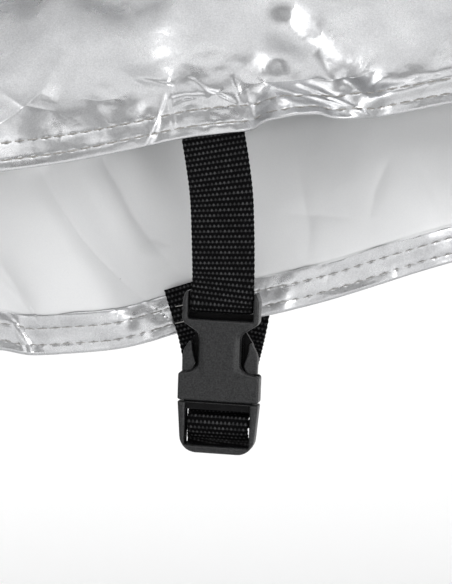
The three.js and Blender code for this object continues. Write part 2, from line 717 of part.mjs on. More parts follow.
// Far strap: from the inside of the far hem, over the adjuster bar, in a slack bend behind the
// frame's foot, and up outside the hem as a tail
const farStrap = [
  station(-11, 16.9, -860.5, 15, 0),
  station(-8, 16.9, -870.4, 15, 0),
  station(-5, 16.7, -880.6, 13, 0),
  station(-3, 13.4, -889.5, 9, -5),
  station(-1.4, 7, -898, 4, -8),
  buckleStation(6, 4, -0.6),
  buckleStation(5.5, -1, -0.5),
  buckleStation(4.4, -4.2, -0.15),
  ...wrapBar(ADJUSTER_BAR, 75, 195, 6),
  buckleStation(-1.2, -11.6),
  buckleStation(0.2, -13.7),
  buckleStation(2.2, -15.6),
  buckleStation(4.4, -16.9, -0.15),
  buckleStation(5.9, -18.7, -0.5),
  buckleStation(7.4, -19.9, -0.8),
  buckleStation(9, -19.4, -0.8),
  buckleStation(9.8, -17.2, -0.8),
  buckleStation(9.7, -13, -0.7),
  buckleStation(9.2, -8, -0.6),
  buckleStation(8.8, -4, -0.4),
  buckleStation(8.6, 0, -0.2),
  station(2.6, 6.6, -898, -3, -8),
  station(4.6, 14, -890.5, -5, -5),
  station(6.6, 20.8, -883, -6, -3),
  station(8.4, 23.6, -874.5, -6, 0),
  station(10, 24.2, -863, -6, 0),
  station(11.6, 24.2, -848, -6, 0),
];

// Finishes
function finish(color, roughness, metalness) {
  return new THREE.MeshStandardMaterial({ color, roughness, metalness });
}

const silverCloth = finish(0xd3d5d8, 0.38, 0.55);
const blackWebbing = finish(0x111112, 0.85, 0);
const greyPlastic = finish(0x38393b, 0.55, 0);

function piece(name, geometry, material) {
  const mesh = new THREE.Mesh(geometry, material.clone());
  mesh.name = name;
  return mesh;
}

buckle.add(
  piece("buckle_body", buckleBody(), greyPlastic),
  piece("buckle_frame", buckleFrame(), greyPlastic),
  piece("release_arm_left", releaseArm(-1), greyPlastic),
  piece("release_arm_right", releaseArm(1), greyPlastic));

const cover = new THREE.Group();
cover.name = "motorcycle_cover";
cover.add(
  piece("side_panel_near", sidePanel(NEAR), silverCloth),
  piece("side_panel_far", sidePanel(FAR), silverCloth),
  piece("strap_near", webbing(nearStrap), blackWebbing),
  piece("strap_far", webbing(farStrap), blackWebbing),
  buckle);

export default cover;
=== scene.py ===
"""Looks of the fitted motorcycle cover: coated cloth, hems, thread, webbing and buckle.

The cover's own frame: X to the front, -Y the near side, Z up. Sizes in this file are in
millimetres until a mesh is made, and Blender's own are metres.
"""

import math

import bpy
import numpy as np
from mathutils import Matrix, Vector, geometry


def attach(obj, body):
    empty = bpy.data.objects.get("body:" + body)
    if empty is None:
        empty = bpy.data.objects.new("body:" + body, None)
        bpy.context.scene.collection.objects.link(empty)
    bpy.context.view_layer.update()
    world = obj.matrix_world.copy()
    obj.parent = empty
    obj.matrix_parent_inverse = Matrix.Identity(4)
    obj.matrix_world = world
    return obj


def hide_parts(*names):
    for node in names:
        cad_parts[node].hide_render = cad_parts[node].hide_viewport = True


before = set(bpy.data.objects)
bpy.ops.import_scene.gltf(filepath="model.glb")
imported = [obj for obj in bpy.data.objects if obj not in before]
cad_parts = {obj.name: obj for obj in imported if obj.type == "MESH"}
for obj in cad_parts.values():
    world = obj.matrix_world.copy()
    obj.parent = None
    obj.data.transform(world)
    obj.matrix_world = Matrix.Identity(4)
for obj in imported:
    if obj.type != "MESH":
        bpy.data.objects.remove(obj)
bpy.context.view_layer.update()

MM = 0.001
NEAR, FAR = -1, 1
OUTSIDE, INSIDE = 0, 1


# Camera. The picture's middle is a point just below the near hem.

PICTURE = {"width": 452, "height": 584}
AIM = np.array([2.8, -20.0, -863.0])
VIEW_DISTANCE = 800.0
VIEW_ELEVATION = math.radians(3.0)
NEAR_PIXEL = 0.40
FAR_PIXEL = 0.42
FAR_AIM_HEIGHT = -865.1


def place_camera():
    camera = bpy.data.objects.new("camera", bpy.data.cameras.new("camera"))
    bpy.context.scene.collection.objects.link(camera)
    back = Vector((0.0, -math.cos(VIEW_ELEVATION), math.sin(VIEW_ELEVATION)))
    camera.location = (Vector(AIM) + back * VIEW_DISTANCE) * MM
    camera.rotation_euler = (math.radians(90.0) - VIEW_ELEVATION, 0.0, 0.0)
    camera.data.sensor_width = 36.0
    tall = PICTURE["height"] * NEAR_PIXEL
    camera.data.lens = 36.0 * VIEW_DISTANCE / tall
    camera.data.clip_start, camera.data.clip_end = 0.01, 50.0
    bpy.context.scene.camera = camera


def picture_place(side, x, y):
    """Distance along the cover and height of a point of the picture that lies on one hem's plane."""
    if side == NEAR:
        return AIM[0] + (x - 226.0) * NEAR_PIXEL, AIM[2] - (y - 292.0) * NEAR_PIXEL
    return AIM[0] + (x - 226.0) * FAR_PIXEL, FAR_AIM_HEIGHT - (y - 292.0) * FAR_PIXEL


# Small tables and smooth curves

def table(names, *rows):
    """A small table, as one array for each named column."""
    return {name: np.array([row[k] for row in rows], float) for k, name in enumerate(names.split())}


def rows_of(columns):
    """The rows of a small table, as one dictionary each."""
    count = len(next(iter(columns.values())))
    return [{name: columns[name][k] for name in columns} for k in range(count)]


def smoothstep(low, high, value):
    share = np.clip((value - low) / (high - low), 0.0, 1.0)
    return share * share * (3.0 - 2.0 * share)


def read_table(columns, name, along):
    """Smooth curve through one column of a table, read at places along the cover."""
    at, values = columns["along"], columns[name]
    last = len(at) - 1
    before = np.maximum(np.arange(len(at)) - 1, 0)
    after = np.minimum(np.arange(len(at)) + 1, last)
    slopes = (values[after] - values[before]) / (at[after] - at[before])
    row = np.clip(np.searchsorted(at, along, side="left") - 1, 0, last - 1)
    span = at[row + 1] - at[row]
    share = (along - at[row]) / span
    square, cube = share ** 2, share ** 3
    return ((2 * cube - 3 * square + 1) * values[row] + (cube - 2 * square + share) * span * slopes[row]
            + (3 * square - 2 * cube) * values[row + 1] + (cube - square) * span * slopes[row + 1])


NOISE_SIZE = 256
noise_turns = np.random.default_rng(11).uniform(0.0, 2.0 * math.pi, (NOISE_SIZE, NOISE_SIZE))


def noise(x, y):
    """Smooth noise from about -1 to 1, with one swell to a unit."""
    left, low = np.floor(x).astype(int), np.floor(y).astype(int)
    x, y = x - left, y - low
    ease_x, ease_y = x ** 3 * (x * (6 * x - 15) + 10), y ** 3 * (y * (6 * y - 15) + 10)

    def corner(right, up):
        turn = noise_turns[(left + right) % NOISE_SIZE, (low + up) % NOISE_SIZE]
        return np.cos(turn) * (x - right) + np.sin(turn) * (y - up)

    lower = corner(0, 0) * (1 - ease_x) + corner(1, 0) * ease_x
    upper = corner(0, 1) * (1 - ease_x) + corner(1, 1) * ease_x
    return 1.5 * (lower * (1 - ease_y) + upper * ease_y)


# Cloth: sections of a side panel, hems and folds, as the solids have them

GAP = 0.3
CLOTH = 1.2
HEM_PLY = 1.0
HEM_FOLD = 20.0
SEAM_TURN = 11.0
SEAM_FADE = 80.0
MIDDLE_REACH = 600.0
RIDGE_LIFT = CLOTH / 2
END = 1200.0
PLUMB_DROP = 230.0
PLUMB_REACH = 280.0
SEWN_ALONG, SEWN_RISE = 42.0, 44.0

SECTIONS = table(
    "along ridge_x ridge_z shoulder_x shoulder_y shoulder_z flank_x flank_y flank_z hem_x hem_y",
    (-1200, -900, -60, -1060, 0, -90, -1205, 0, -440, -1135, 0),
    (-1090, -860, -38, -1000, 165, -66, -1150, 240, -440, -1085, 130),
    (-900, -770, -8, -830, 285, -12, -930, 370, -430, -905, 205),
    (-640, -590, 12, -600, 300, 8, -640, 400, -440, -640, 215),
    (-330, -325, -42, -327, 270, -46, -330, 340, -470, -330, 120),
    (-120, -120, -36, -120, 270, -40, -120, 250, -540, -120, 25),
    (0, 0, 0, 0, 300, 0, 0, 225, -560, 0, 20),
    (120, 120, 42, 120, 350, 38, 120, 270, -540, 120, 25),
    (330, 325, 150, 327, 500, 165, 330, 430, -430, 330, 130),
    (560, 480, 222, 500, 500, 205, 570, 420, -430, 590, 200),
    (820, 600, 165, 690, 330, 120, 850, 340, -400, 860, 205),
    (1070, 700, 70, 860, 190, 20, 1100, 230, -330, 1100, 130),
    (1200, 740, 30, 900, 0, -60, 1175, 0, -260, 1165, 0))

HEMS = {
    NEAR: table(
        "along z",
        (-1200, -890), (-1090, -893), (-900, -902), (-640, -884), (-330, -846), (-170, -826),
        (-88, -815), (-59, -811), (-32, -805.7), (-14, -801.8), (3, -799.7), (13, -798.6),
        (20, -795.4), (38, -792.9), (45, -794.5), (56, -794.5), (72, -791.8), (93, -787.8),
        (190, -776), (330, -778), (560, -815), (820, -862), (1070, -886), (1200, -890)),
    FAR: table(
        "along z",
        (-1200, -890), (-1090, -893), (-900, -902), (-640, -922), (-330, -908), (-170, -892),
        (-120, -888), (-92, -889.7), (-80, -891.7), (-62, -890.9), (-44, -889.4), (-32, -886.9),
        (-18, -882.7), (0, -879.2), (18, -875.6), (45, -868.9), (98, -852.6), (190, -832),
        (330, -820), (560, -836), (820, -862), (1070, -886), (1200, -890)),
}

FOLDS = {
    NEAR: table(
        "along level to_along to_level width to_width height",
        (395, 0.7, -260, 0.64, 42, 75, 24), (400, 0.66, 60, 0.16, 50, 26, 24),
        (430, 0.64, 740, 0.04, 55, 60, 22), (450, 0.69, 930, 0.4, 46, 50, 20),
        (330, 0.5, 250, 0, 40, 44, -16), (560, 0.46, 560, 0, 44, 50, -18),
        (980, 0.5, 1000, 0, 42, 50, 14), (860, 0.42, 870, 0, 36, 42, -12),
        (150, 0.46, 34, 0.09, 34, 14, 11), (-150, 0.5, -40, 0.09, 38, 16, 12),
        (-640, 0.72, -90, 0.12, 55, 28, 22), (-420, 0.52, -400, 0, 44, 50, 17),
        (-560, 0.48, -560, 0, 40, 44, -15), (-760, 0.62, -740, 0, 46, 52, 16),
        (-930, 0.66, -900, 0, 42, 46, -13), (-1040, 0.7, -1040, 0, 40, 46, 12),
        (-620, 0.82, -260, 0.78, 40, 50, -12)),
    FAR: table(
        "along level to_along to_level width to_width height",
        (395, 0.7, -200, 0.6, 44, 70, 22), (405, 0.66, 90, 0.2, 50, 28, 22),
        (440, 0.65, 700, 0.03, 52, 58, 20), (460, 0.7, 900, 0.44, 44, 52, 18),
        (300, 0.46, 290, 0, 42, 46, -15), (580, 0.5, 540, 0, 42, 50, -16),
        (940, 0.52, 960, 0, 40, 48, 13), (-180, 0.5, -110, 0.16, 40, 24, 12),
        (-620, 0.7, -180, 0.2, 52, 34, 20), (-450, 0.5, -430, 0, 44, 50, 16),
        (-590, 0.46, -600, 0, 40, 46, -14), (-790, 0.6, -780, 0, 44, 52, 15),
        (-960, 0.64, -950, 0, 40, 46, -12)),
}

CREASES = {
    NEAR: table(
        "along rise to_along to_rise width to_width height",
        (-30, 70, -28, 6, 9, 7, 3.5), (-62, 75, -84, 24, 14, 12, -3),
        (24, 36, 22, 4, 7, 6, -3), (26, 50, 58, 12, 8, 8, 3.5)),
    FAR: table(
        "along rise to_along to_rise width to_width height",
        (-96, 100, -40, 92, 48, 42, -22), (-70, 82, -32, 18, 9, 8, 4.5),
        (-46, 84, -29, 50, 8, 8, 3), (-96, 38, -80, 8, 10, 9, 3.5),
        (60, 90, 88, 26, 18, 20, -4)),
}

POKES = table("along level width height", (400, 0.715, 62, 62), (520, 0.845, 60, 20))

SECTION_STEPS = 240
COLUMN_KEY = 1e5


def section_curves(side, places):
    """Points of the sections at some places, from hem to ridge, and how far each lies along its own."""
    def corner(x, y, z):
        read = [read_table(SECTIONS, name, places) if name else np.zeros(len(places)) for name in (x, y, z)]
        return np.stack([read[0], side * read[1], read[2]], axis=1)[:, None, :]

    hem = corner("hem_x", "hem_y", None)
    hem[:, 0, 2] = read_table(HEMS[side], "z", places)
    flank = corner("flank_x", "flank_y", "flank_z")
    lift = np.array([0.0, 0.0, RIDGE_LIFT])
    shoulder = corner("shoulder_x", "shoulder_y", "shoulder_z") + lift
    ridge = corner("ridge_x", None, "ridge_z") + lift
    t = np.linspace(0.0, 1.0, SECTION_STEPS + 1)[None, :, None]
    points = ((1 - t) ** 3 * hem + 3 * (1 - t) ** 2 * t * flank
              + 3 * (1 - t) * t ** 2 * shoulder + t ** 3 * ridge)
    steps = np.linalg.norm(np.diff(points, axis=1), axis=2)
    return points, np.concatenate([np.zeros((len(places), 1)), np.cumsum(steps, axis=1)], axis=1)


def section_lengths(side, along):
    places, back = np.unique(np.round(along, 3), return_inverse=True)
    return section_curves(side, places)[1][back, -1]


# The near hem swings out in front of its own stitches a little to the right of the strap

FLARE = {"along": 36.0, "reach": 22.0, "rise": 26.0, "fade": 70.0, "shorter": 0.2, "swing": 0.5}


def flare_share(along):
    return np.exp(-((along - FLARE["along"]) / FLARE["reach"]) ** 4)


def plain_cloth(side, along, rise):
    """Cloth without its folds."""
    places, back = np.unique(np.round(along, 3), return_inverse=True)
    curves, rises = section_curves(side, places)
    rows = SECTION_STEPS + 1
    keys = (np.arange(len(places))[:, None] * COLUMN_KEY + rises).ravel()
    wanted = back * COLUMN_KEY + rise
    row = np.searchsorted(keys, wanted, side="right") - 1
    row = np.clip(row, back * rows, back * rows + SECTION_STEPS - 1)
    share = ((wanted - keys[row]) / (keys[row + 1] - keys[row]))[:, None]
    flat = curves.reshape(-1, 3)
    points = flat[row] + share * (flat[row + 1] - flat[row])
    hem_y = curves[back, 0, 1]
    slope = 1.0 - np.exp(-((along / PLUMB_REACH) ** 2)) * (1.0 - smoothstep(0.0, PLUMB_DROP, rise))
    points[:, 1] = hem_y + (points[:, 1] - hem_y) * slope
    if side == NEAR:
        share = flare_share(along)
        low = np.minimum(rise, FLARE["rise"])
        fade = 1.0 - smoothstep(FLARE["rise"], FLARE["fade"], rise)
        points[:, 2] -= share * FLARE["shorter"] * low * fade
        points[:, 1] -= share * FLARE["swing"] * (FLARE["rise"] - low)
    return points


def unit(vectors):
    return vectors / np.maximum(np.linalg.norm(vectors, axis=1), 1e-12)[:, None]


def plain_facing(side, along, rise, probe=3.0):
    """Outward direction of the cloth without its folds."""
    highest = section_lengths(side, along)
    ahead = plain_cloth(side, np.minimum(along + probe, END), rise)
    behind = plain_cloth(side, np.maximum(along - probe, -END), rise)
    above = plain_cloth(side, along, np.minimum(rise + probe, highest))
    below = plain_cloth(side, along, np.maximum(rise - probe, 0.0))
    return unit(np.cross(ahead - behind, above - below) * -side)


def net_facing(side, points, faces):
    """Outward direction at each knot of a net whose faces run along and then up."""
    sizes = np.array([len(face) for face in faces])
    knots = np.concatenate([np.asarray(face) for face in faces])
    starts = np.concatenate([[0], np.cumsum(sizes)[:-1]])
    after = np.arange(1, len(knots) + 1)
    after[starts + sizes - 1] = starts
    crosses = np.cross(points[knots], points[knots[after]])
    owner = np.repeat(np.arange(len(faces)), sizes)
    whole = np.stack([np.bincount(owner, crosses[:, k]) for k in range(3)], axis=1)[owner]
    summed = np.stack([np.bincount(knots, whole[:, k], minlength=len(points)) for k in range(3)], axis=1)
    return unit(summed) * -side


def ridge_height(across, up, ridge):
    """Height of one soft ridge between two places."""
    span_across, span_up = ridge["to_across"] - ridge["across"], ridge["to_up"] - ridge["up"]
    reach = (across - ridge["across"]) * span_across + (up - ridge["up"]) * span_up
    share = np.clip(reach / (span_across ** 2 + span_up ** 2), 0.0, 1.0)
    off_across = across - ridge["across"] - share * span_across
    off_up = up - ridge["up"] - share * span_up
    width = ridge["width"] + share * (ridge["to_width"] - ridge["width"])
    return ridge["height"] * np.exp(-(off_across ** 2 + off_up ** 2) / width ** 2)


def seam_closeness(along, rise, length, plain):
    """1 on the seam, falling to 0 away from it."""
    from_seam = np.where(np.abs(along) < MIDDLE_REACH, np.abs(length - rise), np.abs(plain[:, 1]))
    return 1.0 - smoothstep(0.0, SEAM_FADE, from_seam)


STRAP_ROOM = {NEAR: (-4.0, 17.0, 24.0), FAR: (0.0, 26.0, 33.0)}


def clear_of_strap(side, along, rise):
    """0 where fine folds would press into a strap, 1 away from it."""
    middle, closest, clear = STRAP_ROOM[side]
    return np.maximum(smoothstep(closest, clear, np.abs(along - middle)),
                      smoothstep(SEWN_RISE * 0.65, SEWN_RISE, rise))


def beyond_strap(along, rise):
    """0 where a strap is sewn to the cloth, 1 away from it."""
    return np.maximum(smoothstep(SEWN_ALONG * 0.65, SEWN_ALONG, np.abs(along)),
                      smoothstep(SEWN_RISE * 0.65, SEWN_RISE, rise))


def broad_folds(side, along, rise, length, plain):
    """Height of the folds that the solids have too."""
    height = np.zeros(len(along))
    for fold in rows_of(FOLDS[side]):
        height += ridge_height(along, rise, dict(
            fold, across=fold["along"], up=fold["level"] * length,
            to_across=fold["to_along"], to_up=fold["to_level"] * length))
    for poke in rows_of(POKES):
        off = (along - poke["along"]) ** 2 + (rise - poke["level"] * length) ** 2
        height += poke["height"] * np.exp(-off / poke["width"] ** 2)
    for crease in rows_of(CREASES[side]):
        height += ridge_height(along, rise, dict(
            crease, across=crease["along"], up=crease["rise"],
            to_across=crease["to_along"], to_up=crease["to_rise"]))
    return height * beyond_strap(along, rise) * (1.0 - seam_closeness(along, rise, length, plain))


# Fine creases, placed by the picture. Each follows a line of picture points, and falls off by its
# own width on its right and on its left, as seen going from its first point. A positive height
# stands away from the cover's inside.

FINE_REACH = 125.0

FINE_CREASES = {
    NEAR: [
        dict(line=[(172, 71), (156, 66), (138, 60)], right=2.5, left=3.5, height=0.9),
        dict(line=[(168, 70), (163, 92), (156, 116), (150, 134), (144, 150)], right=9, left=2.5, height=1.5),
        dict(line=[(169, 70), (167, 92), (163, 118), (157, 140)], right=2.5, left=2.5, height=-0.8),
        dict(line=[(170, 72), (173, 96), (174, 128)], right=4, left=3, height=1.0),
        dict(line=[(172, 100), (184, 92), (196, 90)], right=2.5, left=2.5, height=0.6),
        dict(line=[(171, 88), (186, 84), (204, 85)], right=3, left=2.5, height=0.6),
        dict(line=[(192, 64), (208, 80), (222, 88), (236, 97)], right=5, left=3, height=1.1),
        dict(line=[(204, 92), (214, 84), (222, 78)], right=3, left=3, height=0.5),
        dict(line=[(233, 62), (237, 76), (243, 97)], right=2.5, left=4, height=1.0),
        dict(line=[(247, 78), (254, 112), (262, 122)], right=4, left=2.5, height=0.9),
        dict(line=[(256, 84), (257, 116)], right=5, left=4, height=-1.0),
        dict(line=[(262, 60), (285, 73), (308, 84), (330, 95), (346, 108), (362, 117)],
             right=5, left=2.2, height=0.8),
        dict(line=[(298, 60), (316, 76), (334, 92), (352, 110), (366, 121)], right=2.4, left=5, height=0.9),
        dict(line=[(60, 36), (42, 76), (18, 100), (-6, 118)], right=16, left=26, height=-3.0),
        dict(line=[(2, 72), (24, 92), (52, 98)], right=4, left=5, height=-0.6),
        dict(line=[(84, 82), (98, 86), (116, 85)], right=7, left=6, height=-0.9),
        dict(line=[(-10, 166), (40, 158), (90, 150), (130, 140)], right=30, left=34, height=1.5, soft=True),
        dict(line=[(96, 66), (112, 96), (120, 124)], right=10, left=12, height=0.7, soft=True),
        dict(line=[(344, 52), (346, 70), (352, 80)], right=9, left=10, height=2.0, soft=True),
        dict(line=[(360, 92), (400, 82), (452, 68), (480, 60)], right=9, left=9, height=1.8, soft=True),
        dict(line=[(386, 60), (376, 74), (366, 86)], right=8, left=10, height=-1.4, soft=True),
        dict(line=[(276, 84), (292, 94), (304, 96)], right=8, left=7, height=1.1, soft=True),
        dict(line=[(436, 60), (424, 84), (418, 104)], right=9, left=6, height=-0.7),
        dict(line=[(64, 120), (60, 146), (62, 164)], right=5, left=7, height=0.5),
        dict(line=[(106, 128), (96, 156)], right=4, left=8, height=0.5),
        dict(line=[(290, 100), (300, 124)], right=5, left=5, height=0.5),
    ],
    FAR: [
        dict(line=[(40, 150), (62, 190), (80, 218), (97, 240), (120, 266), (142, 290), (150, 298)],
             right=10, left=30, height=3.6),
        dict(line=[(104, 150), (122, 177), (132, 198), (150, 225)], right=5, left=16, height=2.4),
        dict(line=[(-10, 230), (8, 262), (24, 288)], right=6, left=20, height=1.8),
        dict(line=[(0, 268), (16, 284), (32, 306)], right=7, left=12, height=1.4),
        dict(line=[(148, 220), (158, 226), (170, 232)], right=2.5, left=3, height=0.6),
        dict(line=[(149, 221), (154, 232), (160, 243)], right=2.5, left=3, height=0.6),
        dict(line=[(388, 140), (376, 170), (370, 202)], right=7, left=10, height=0.8),
        dict(line=[(292, 196), (345, 202)], right=8, left=6, height=0.7),
        dict(line=[(300, 150), (310, 215), (306, 250)], right=12, left=9, height=0.8),
        dict(line=[(420, 150), (436, 190), (440, 222)], right=9, left=14, height=0.9),
        dict(line=[(14, 318), (26, 342), (30, 358)], right=5, left=3, height=-1.6),
        dict(line=[(172, 300), (171, 318), (170, 338)], right=2.6, left=2.6, height=-1.2),
        dict(line=[(60, 306), (66, 352)], right=6, left=9, height=0.6),
        dict(line=[(118, 300), (110, 350)], right=6, left=5, height=0.5),
        dict(line=[(330, 250), (322, 300)], right=7, left=6, height=0.5),
        dict(line=[(392, 234), (398, 282)], right=7, left=9, height=0.6),
    ],
}


def crease_places(side, crease):
    """The line of a fine crease, by distance along the cover and by height."""
    return np.array([picture_place(side, *point) for point in crease["line"]])


def crease_height(side, across, up, crease):
    """Height of one fine crease at places given by distance along the cover and by height."""
    pixel = NEAR_PIXEL if side == NEAR else FAR_PIXEL
    line = crease_places(side, crease)
    lengths = np.linalg.norm(np.diff(line, axis=0), axis=1)
    starts = np.concatenate([[0.0], np.cumsum(lengths)])
    nearest = np.full(len(across), 1e9)
    signed, reach = np.zeros(len(across)), np.zeros(len(across))
    for k, length in enumerate(lengths):
        run = (line[k + 1] - line[k]) / length
        off = np.stack([across - line[k, 0], up - line[k, 1]], axis=1)
        forward = np.clip(off @ run, 0.0, length)
        rest = off - forward[:, None] * run
        distance = np.linalg.norm(rest, axis=1)
        closer = distance < nearest
        nearest = np.where(closer, distance, nearest)
        rightward = rest[:, 0] * run[1] - rest[:, 1] * run[0]
        signed = np.where(closer, np.where(rightward >= 0.0, distance, -distance), signed)
        reach = np.where(closer, starts[k] + forward, reach)
    share = reach / starts[-1]
    taper = np.sin(math.pi * np.clip(0.12 + 0.76 * share, 0.0, 1.0)) ** 0.7
    width = np.where(signed > 0.0, crease["right"], crease["left"]) * pixel
    blunt = 0.25
    fall = (np.sqrt(nearest ** 2 + blunt ** 2) - blunt) / width
    return crease["height"] * taper * np.exp(-fall ** 2 if crease.get("soft") else -fall)


STITCH_ROWS = {NEAR: (5.6, 14.0), FAR: (5.5, 13.8)}
STITCH_PITCH = 5.3
HEM_TILT = {NEAR: 0.5, FAR: 2.6}  # how far the lower edge of each hem leans outwards
HEM_TILT_REACH = 24.0
GROOVE_DEPTH = 0.1
GROOVE_WIDTH = 0.75
HOLE_DEPTH = 0.35
HOLE_WIDTH = 0.55


def row_rise(side, row, along):
    """Rise of one row of stitches, which wanders a little."""
    return STITCH_ROWS[side][row] + 0.35 * noise(along / 55.0, np.full(len(along), 3.0 + 5 * row + side))


def fine_folds(side, along, rise, length):
    """Height of what is too fine for the solids: creases, crumples and puckers."""
    height = np.zeros(len(along))
    window = np.abs(along) < FINE_REACH
    if window.any():
        across, low = along[window], rise[window]
        up = low + read_table(HEMS[side], "z", across)
        part = np.zeros(len(across))
        for crease in FINE_CREASES[side]:
            part += crease_height(side, across, up, crease)
        height[window] += part * (1.0 - smoothstep(100.0, FINE_REACH, np.abs(across)))
    by_strap = np.exp(-(((along + 6.0) / 30.0) ** 2)) * (1.0 - smoothstep(20.0, 60.0, rise))
    rough = (0.6 + 0.6 * by_strap) if side == NEAR else 0.3 + 0.5 * (rise < HEM_FOLD)
    crumple = 1.4 * (0.35 - np.abs(noise(along / 46.0 + 7.0, rise / 46.0)))
    crumple += 0.85 * noise(along / 19.0, rise / 17.0 + 4.0) + 0.13 * noise(along / 8.0 + 3.0, rise / 7.0)
    height += rough * crumple + 0.45 * by_strap * noise(along / 7.5 + 1.0, rise / 6.5)
    in_hem = smoothstep(-2.0, 5.0, rise) * (1.0 - smoothstep(16.0, 24.0, rise))
    height += 0.09 * in_hem * noise(along / 4.6, rise / 11.0)
    height += (0.25 if side == FAR else 0.1) * in_hem * noise(along / 9.5 + 6.0, rise / 7.0)
    height += 0.5 * in_hem * noise(along / 17.0, rise / 30.0 + 9.0)
    seam = 1.0 - smoothstep(0.0, 14.0, length - rise)
    height += seam * (1.2 * noise(along / 26.0, np.full(len(along), 2.0)) - 0.8)
    return height


def cloth_middle(side, along, rise):
    """Middle of the cloth's thickness. Where a strap lies against it, it only bulges away from the strap."""
    plain = plain_cloth(side, along, rise)
    length = section_lengths(side, along)
    fine = fine_folds(side, along, rise, length)
    free = clear_of_strap(side, along, rise)
    away = 0.5 * (fine + np.sqrt(fine ** 2 + 0.4))
    height = broad_folds(side, along, rise, length, plain) + free * fine + (1.0 - free) * away
    height += free * HEM_TILT[side] * (1.0 - smoothstep(0.0, HEM_TILT_REACH, rise))
    return plain + plain_facing(side, along, rise) * height[:, None]


def face_depth(side, face, along, rise, ply):
    """Distance of a face of the cloth from its middle. ply is 1 on the turned-up hem."""
    groove = np.zeros(len(along))
    for row in (0, 1):
        off = rise - row_rise(side, row, along)
        to_hole = (along / STITCH_PITCH - np.round(along / STITCH_PITCH)) * STITCH_PITCH
        groove += GROOVE_DEPTH * np.exp(-((off / GROOVE_WIDTH) ** 2))
        groove += HOLE_DEPTH * np.exp(-((off / HOLE_WIDTH) ** 2) - (to_hole / HOLE_WIDTH) ** 2)
    thick = CLOTH / 2 + (HEM_PLY * ply if face == INSIDE else 0.0)
    if face == INSIDE:
        lift = 0.22 * noise(along / 9.0, np.full(len(along), 5.0))
        thick = thick + ply * lift * smoothstep(15.0, 20.0, rise)
    rounding = np.sqrt(np.clip(1.0 - (1.0 - np.clip(rise / 1.4, 0.0, 1.0)) ** 2, 0.03, 1.0))
    return thick * rounding - groove


def laid_on(face, middle, outward, depth):
    return middle + outward * (depth if face == OUTSIDE else -depth)[:, None]


# Net of a panel: square cells that halve towards the strap, the hem and the seam

BASE_CELL = 16.0
FINEST_CELL = 0.5
NET_TOP = 1200.0
LOW_CLOTH = 200.0


def wanted_cell(side, face, along, level):
    """Largest cell that shows the cloth's shape well at each place of the net."""
    shown = face == (OUTSIDE if side == NEAR else INSIDE)
    finest_top, top = (36.0, 62.0) if side == NEAR else (22.0, 100.0)
    off_along = np.maximum(np.abs(along) - 96.0, 0.0)
    off_hem = np.hypot(off_along, np.maximum(level - finest_top, 0.0))
    off_window = np.hypot(off_along, np.maximum(level - top, 0.0))
    if shown:
        wanted = np.minimum(0.5 + 0.24 * off_hem, 1.0 + 0.24 * off_window)
    else:
        wanted = np.minimum(2.0 + 0.24 * off_hem, 6.0 + 0.3 * off_window)
    wanted = np.where(level < 24.0, np.minimum(wanted, 4.0), wanted)
    from_edge = np.minimum(NET_TOP - level, END - np.abs(along))
    return np.where(from_edge < 10.0, np.minimum(wanted, 4.0), wanted)


def graded_cells(side, face):
    """Cells of the net as columns of left, low and size, in steps of the finest cell."""
    step = FINEST_CELL
    left, low = np.meshgrid(np.arange(-END, END, BASE_CELL), np.arange(0.0, NET_TOP, BASE_CELL))
    cells = np.stack([left.ravel(), low.ravel()], axis=1)
    size, done = BASE_CELL, []
    while len(cells):
        middle = cells + size / 2
        split = (size > step) & (wanted_cell(side, face, middle[:, 0], middle[:, 1]) < size)
        done.append(np.column_stack([cells[~split], np.full((~split).sum(), size)]))
        size /= 2
        corners = np.array([(0, 0), (size, 0), (0, size), (size, size)])
        cells = (cells[split][:, None, :] + corners[None]).reshape(-1, 2)
    cells = np.concatenate(done)
    return np.round(np.column_stack([cells[:, 0] + END, cells[:, 1:]]) / step).astype(int)


KEY_STEP = 100000


def net_of(side, face):
    """Knots of the net and its faces, with the knots of finer neighbours on each cell's edges."""
    cells = graded_cells(side, face)
    left, low, size = cells.T
    right, high = left + size, low + size
    corners = np.stack([left * KEY_STEP + low, right * KEY_STEP + low,
                        right * KEY_STEP + high, left * KEY_STEP + high], axis=1)
    keys = np.unique(corners)
    known = set(keys.tolist())

    def between(a, b, found):
        """Knots on the straight edge from a to b, without its ends."""
        if abs(b - a) in (1, KEY_STEP):
            return
        middle = (a + b) // 2
        if middle in known:
            between(a, middle, found)
            found.append(middle)
            between(middle, b, found)

    number = {key: place for place, key in enumerate(keys.tolist())}
    faces = []
    for quad, wide in zip(corners.tolist(), size.tolist()):
        loop = []
        for k in range(4):
            loop.append(quad[k])
            if wide > 1:
                between(quad[k], quad[(k + 1) % 4], loop)
        faces.append([number[key] for key in loop])
    along = (keys // KEY_STEP) * FINEST_CELL - END
    level = (keys % KEY_STEP) * FINEST_CELL
    return along, level, faces


def rise_of(side, along, level):
    """Level of the net to rise above the hem. The knots over the hem's fold draw close to it."""
    length = section_lengths(side, along)
    rise = np.where(level <= LOW_CLOTH, level,
                    LOW_CLOTH + (level - LOW_CLOTH) * (length - LOW_CLOTH) / (NET_TOP - LOW_CLOTH))
    return np.where(np.abs(level - HEM_FOLD - FINEST_CELL) < 0.01, HEM_FOLD + 0.15, rise)


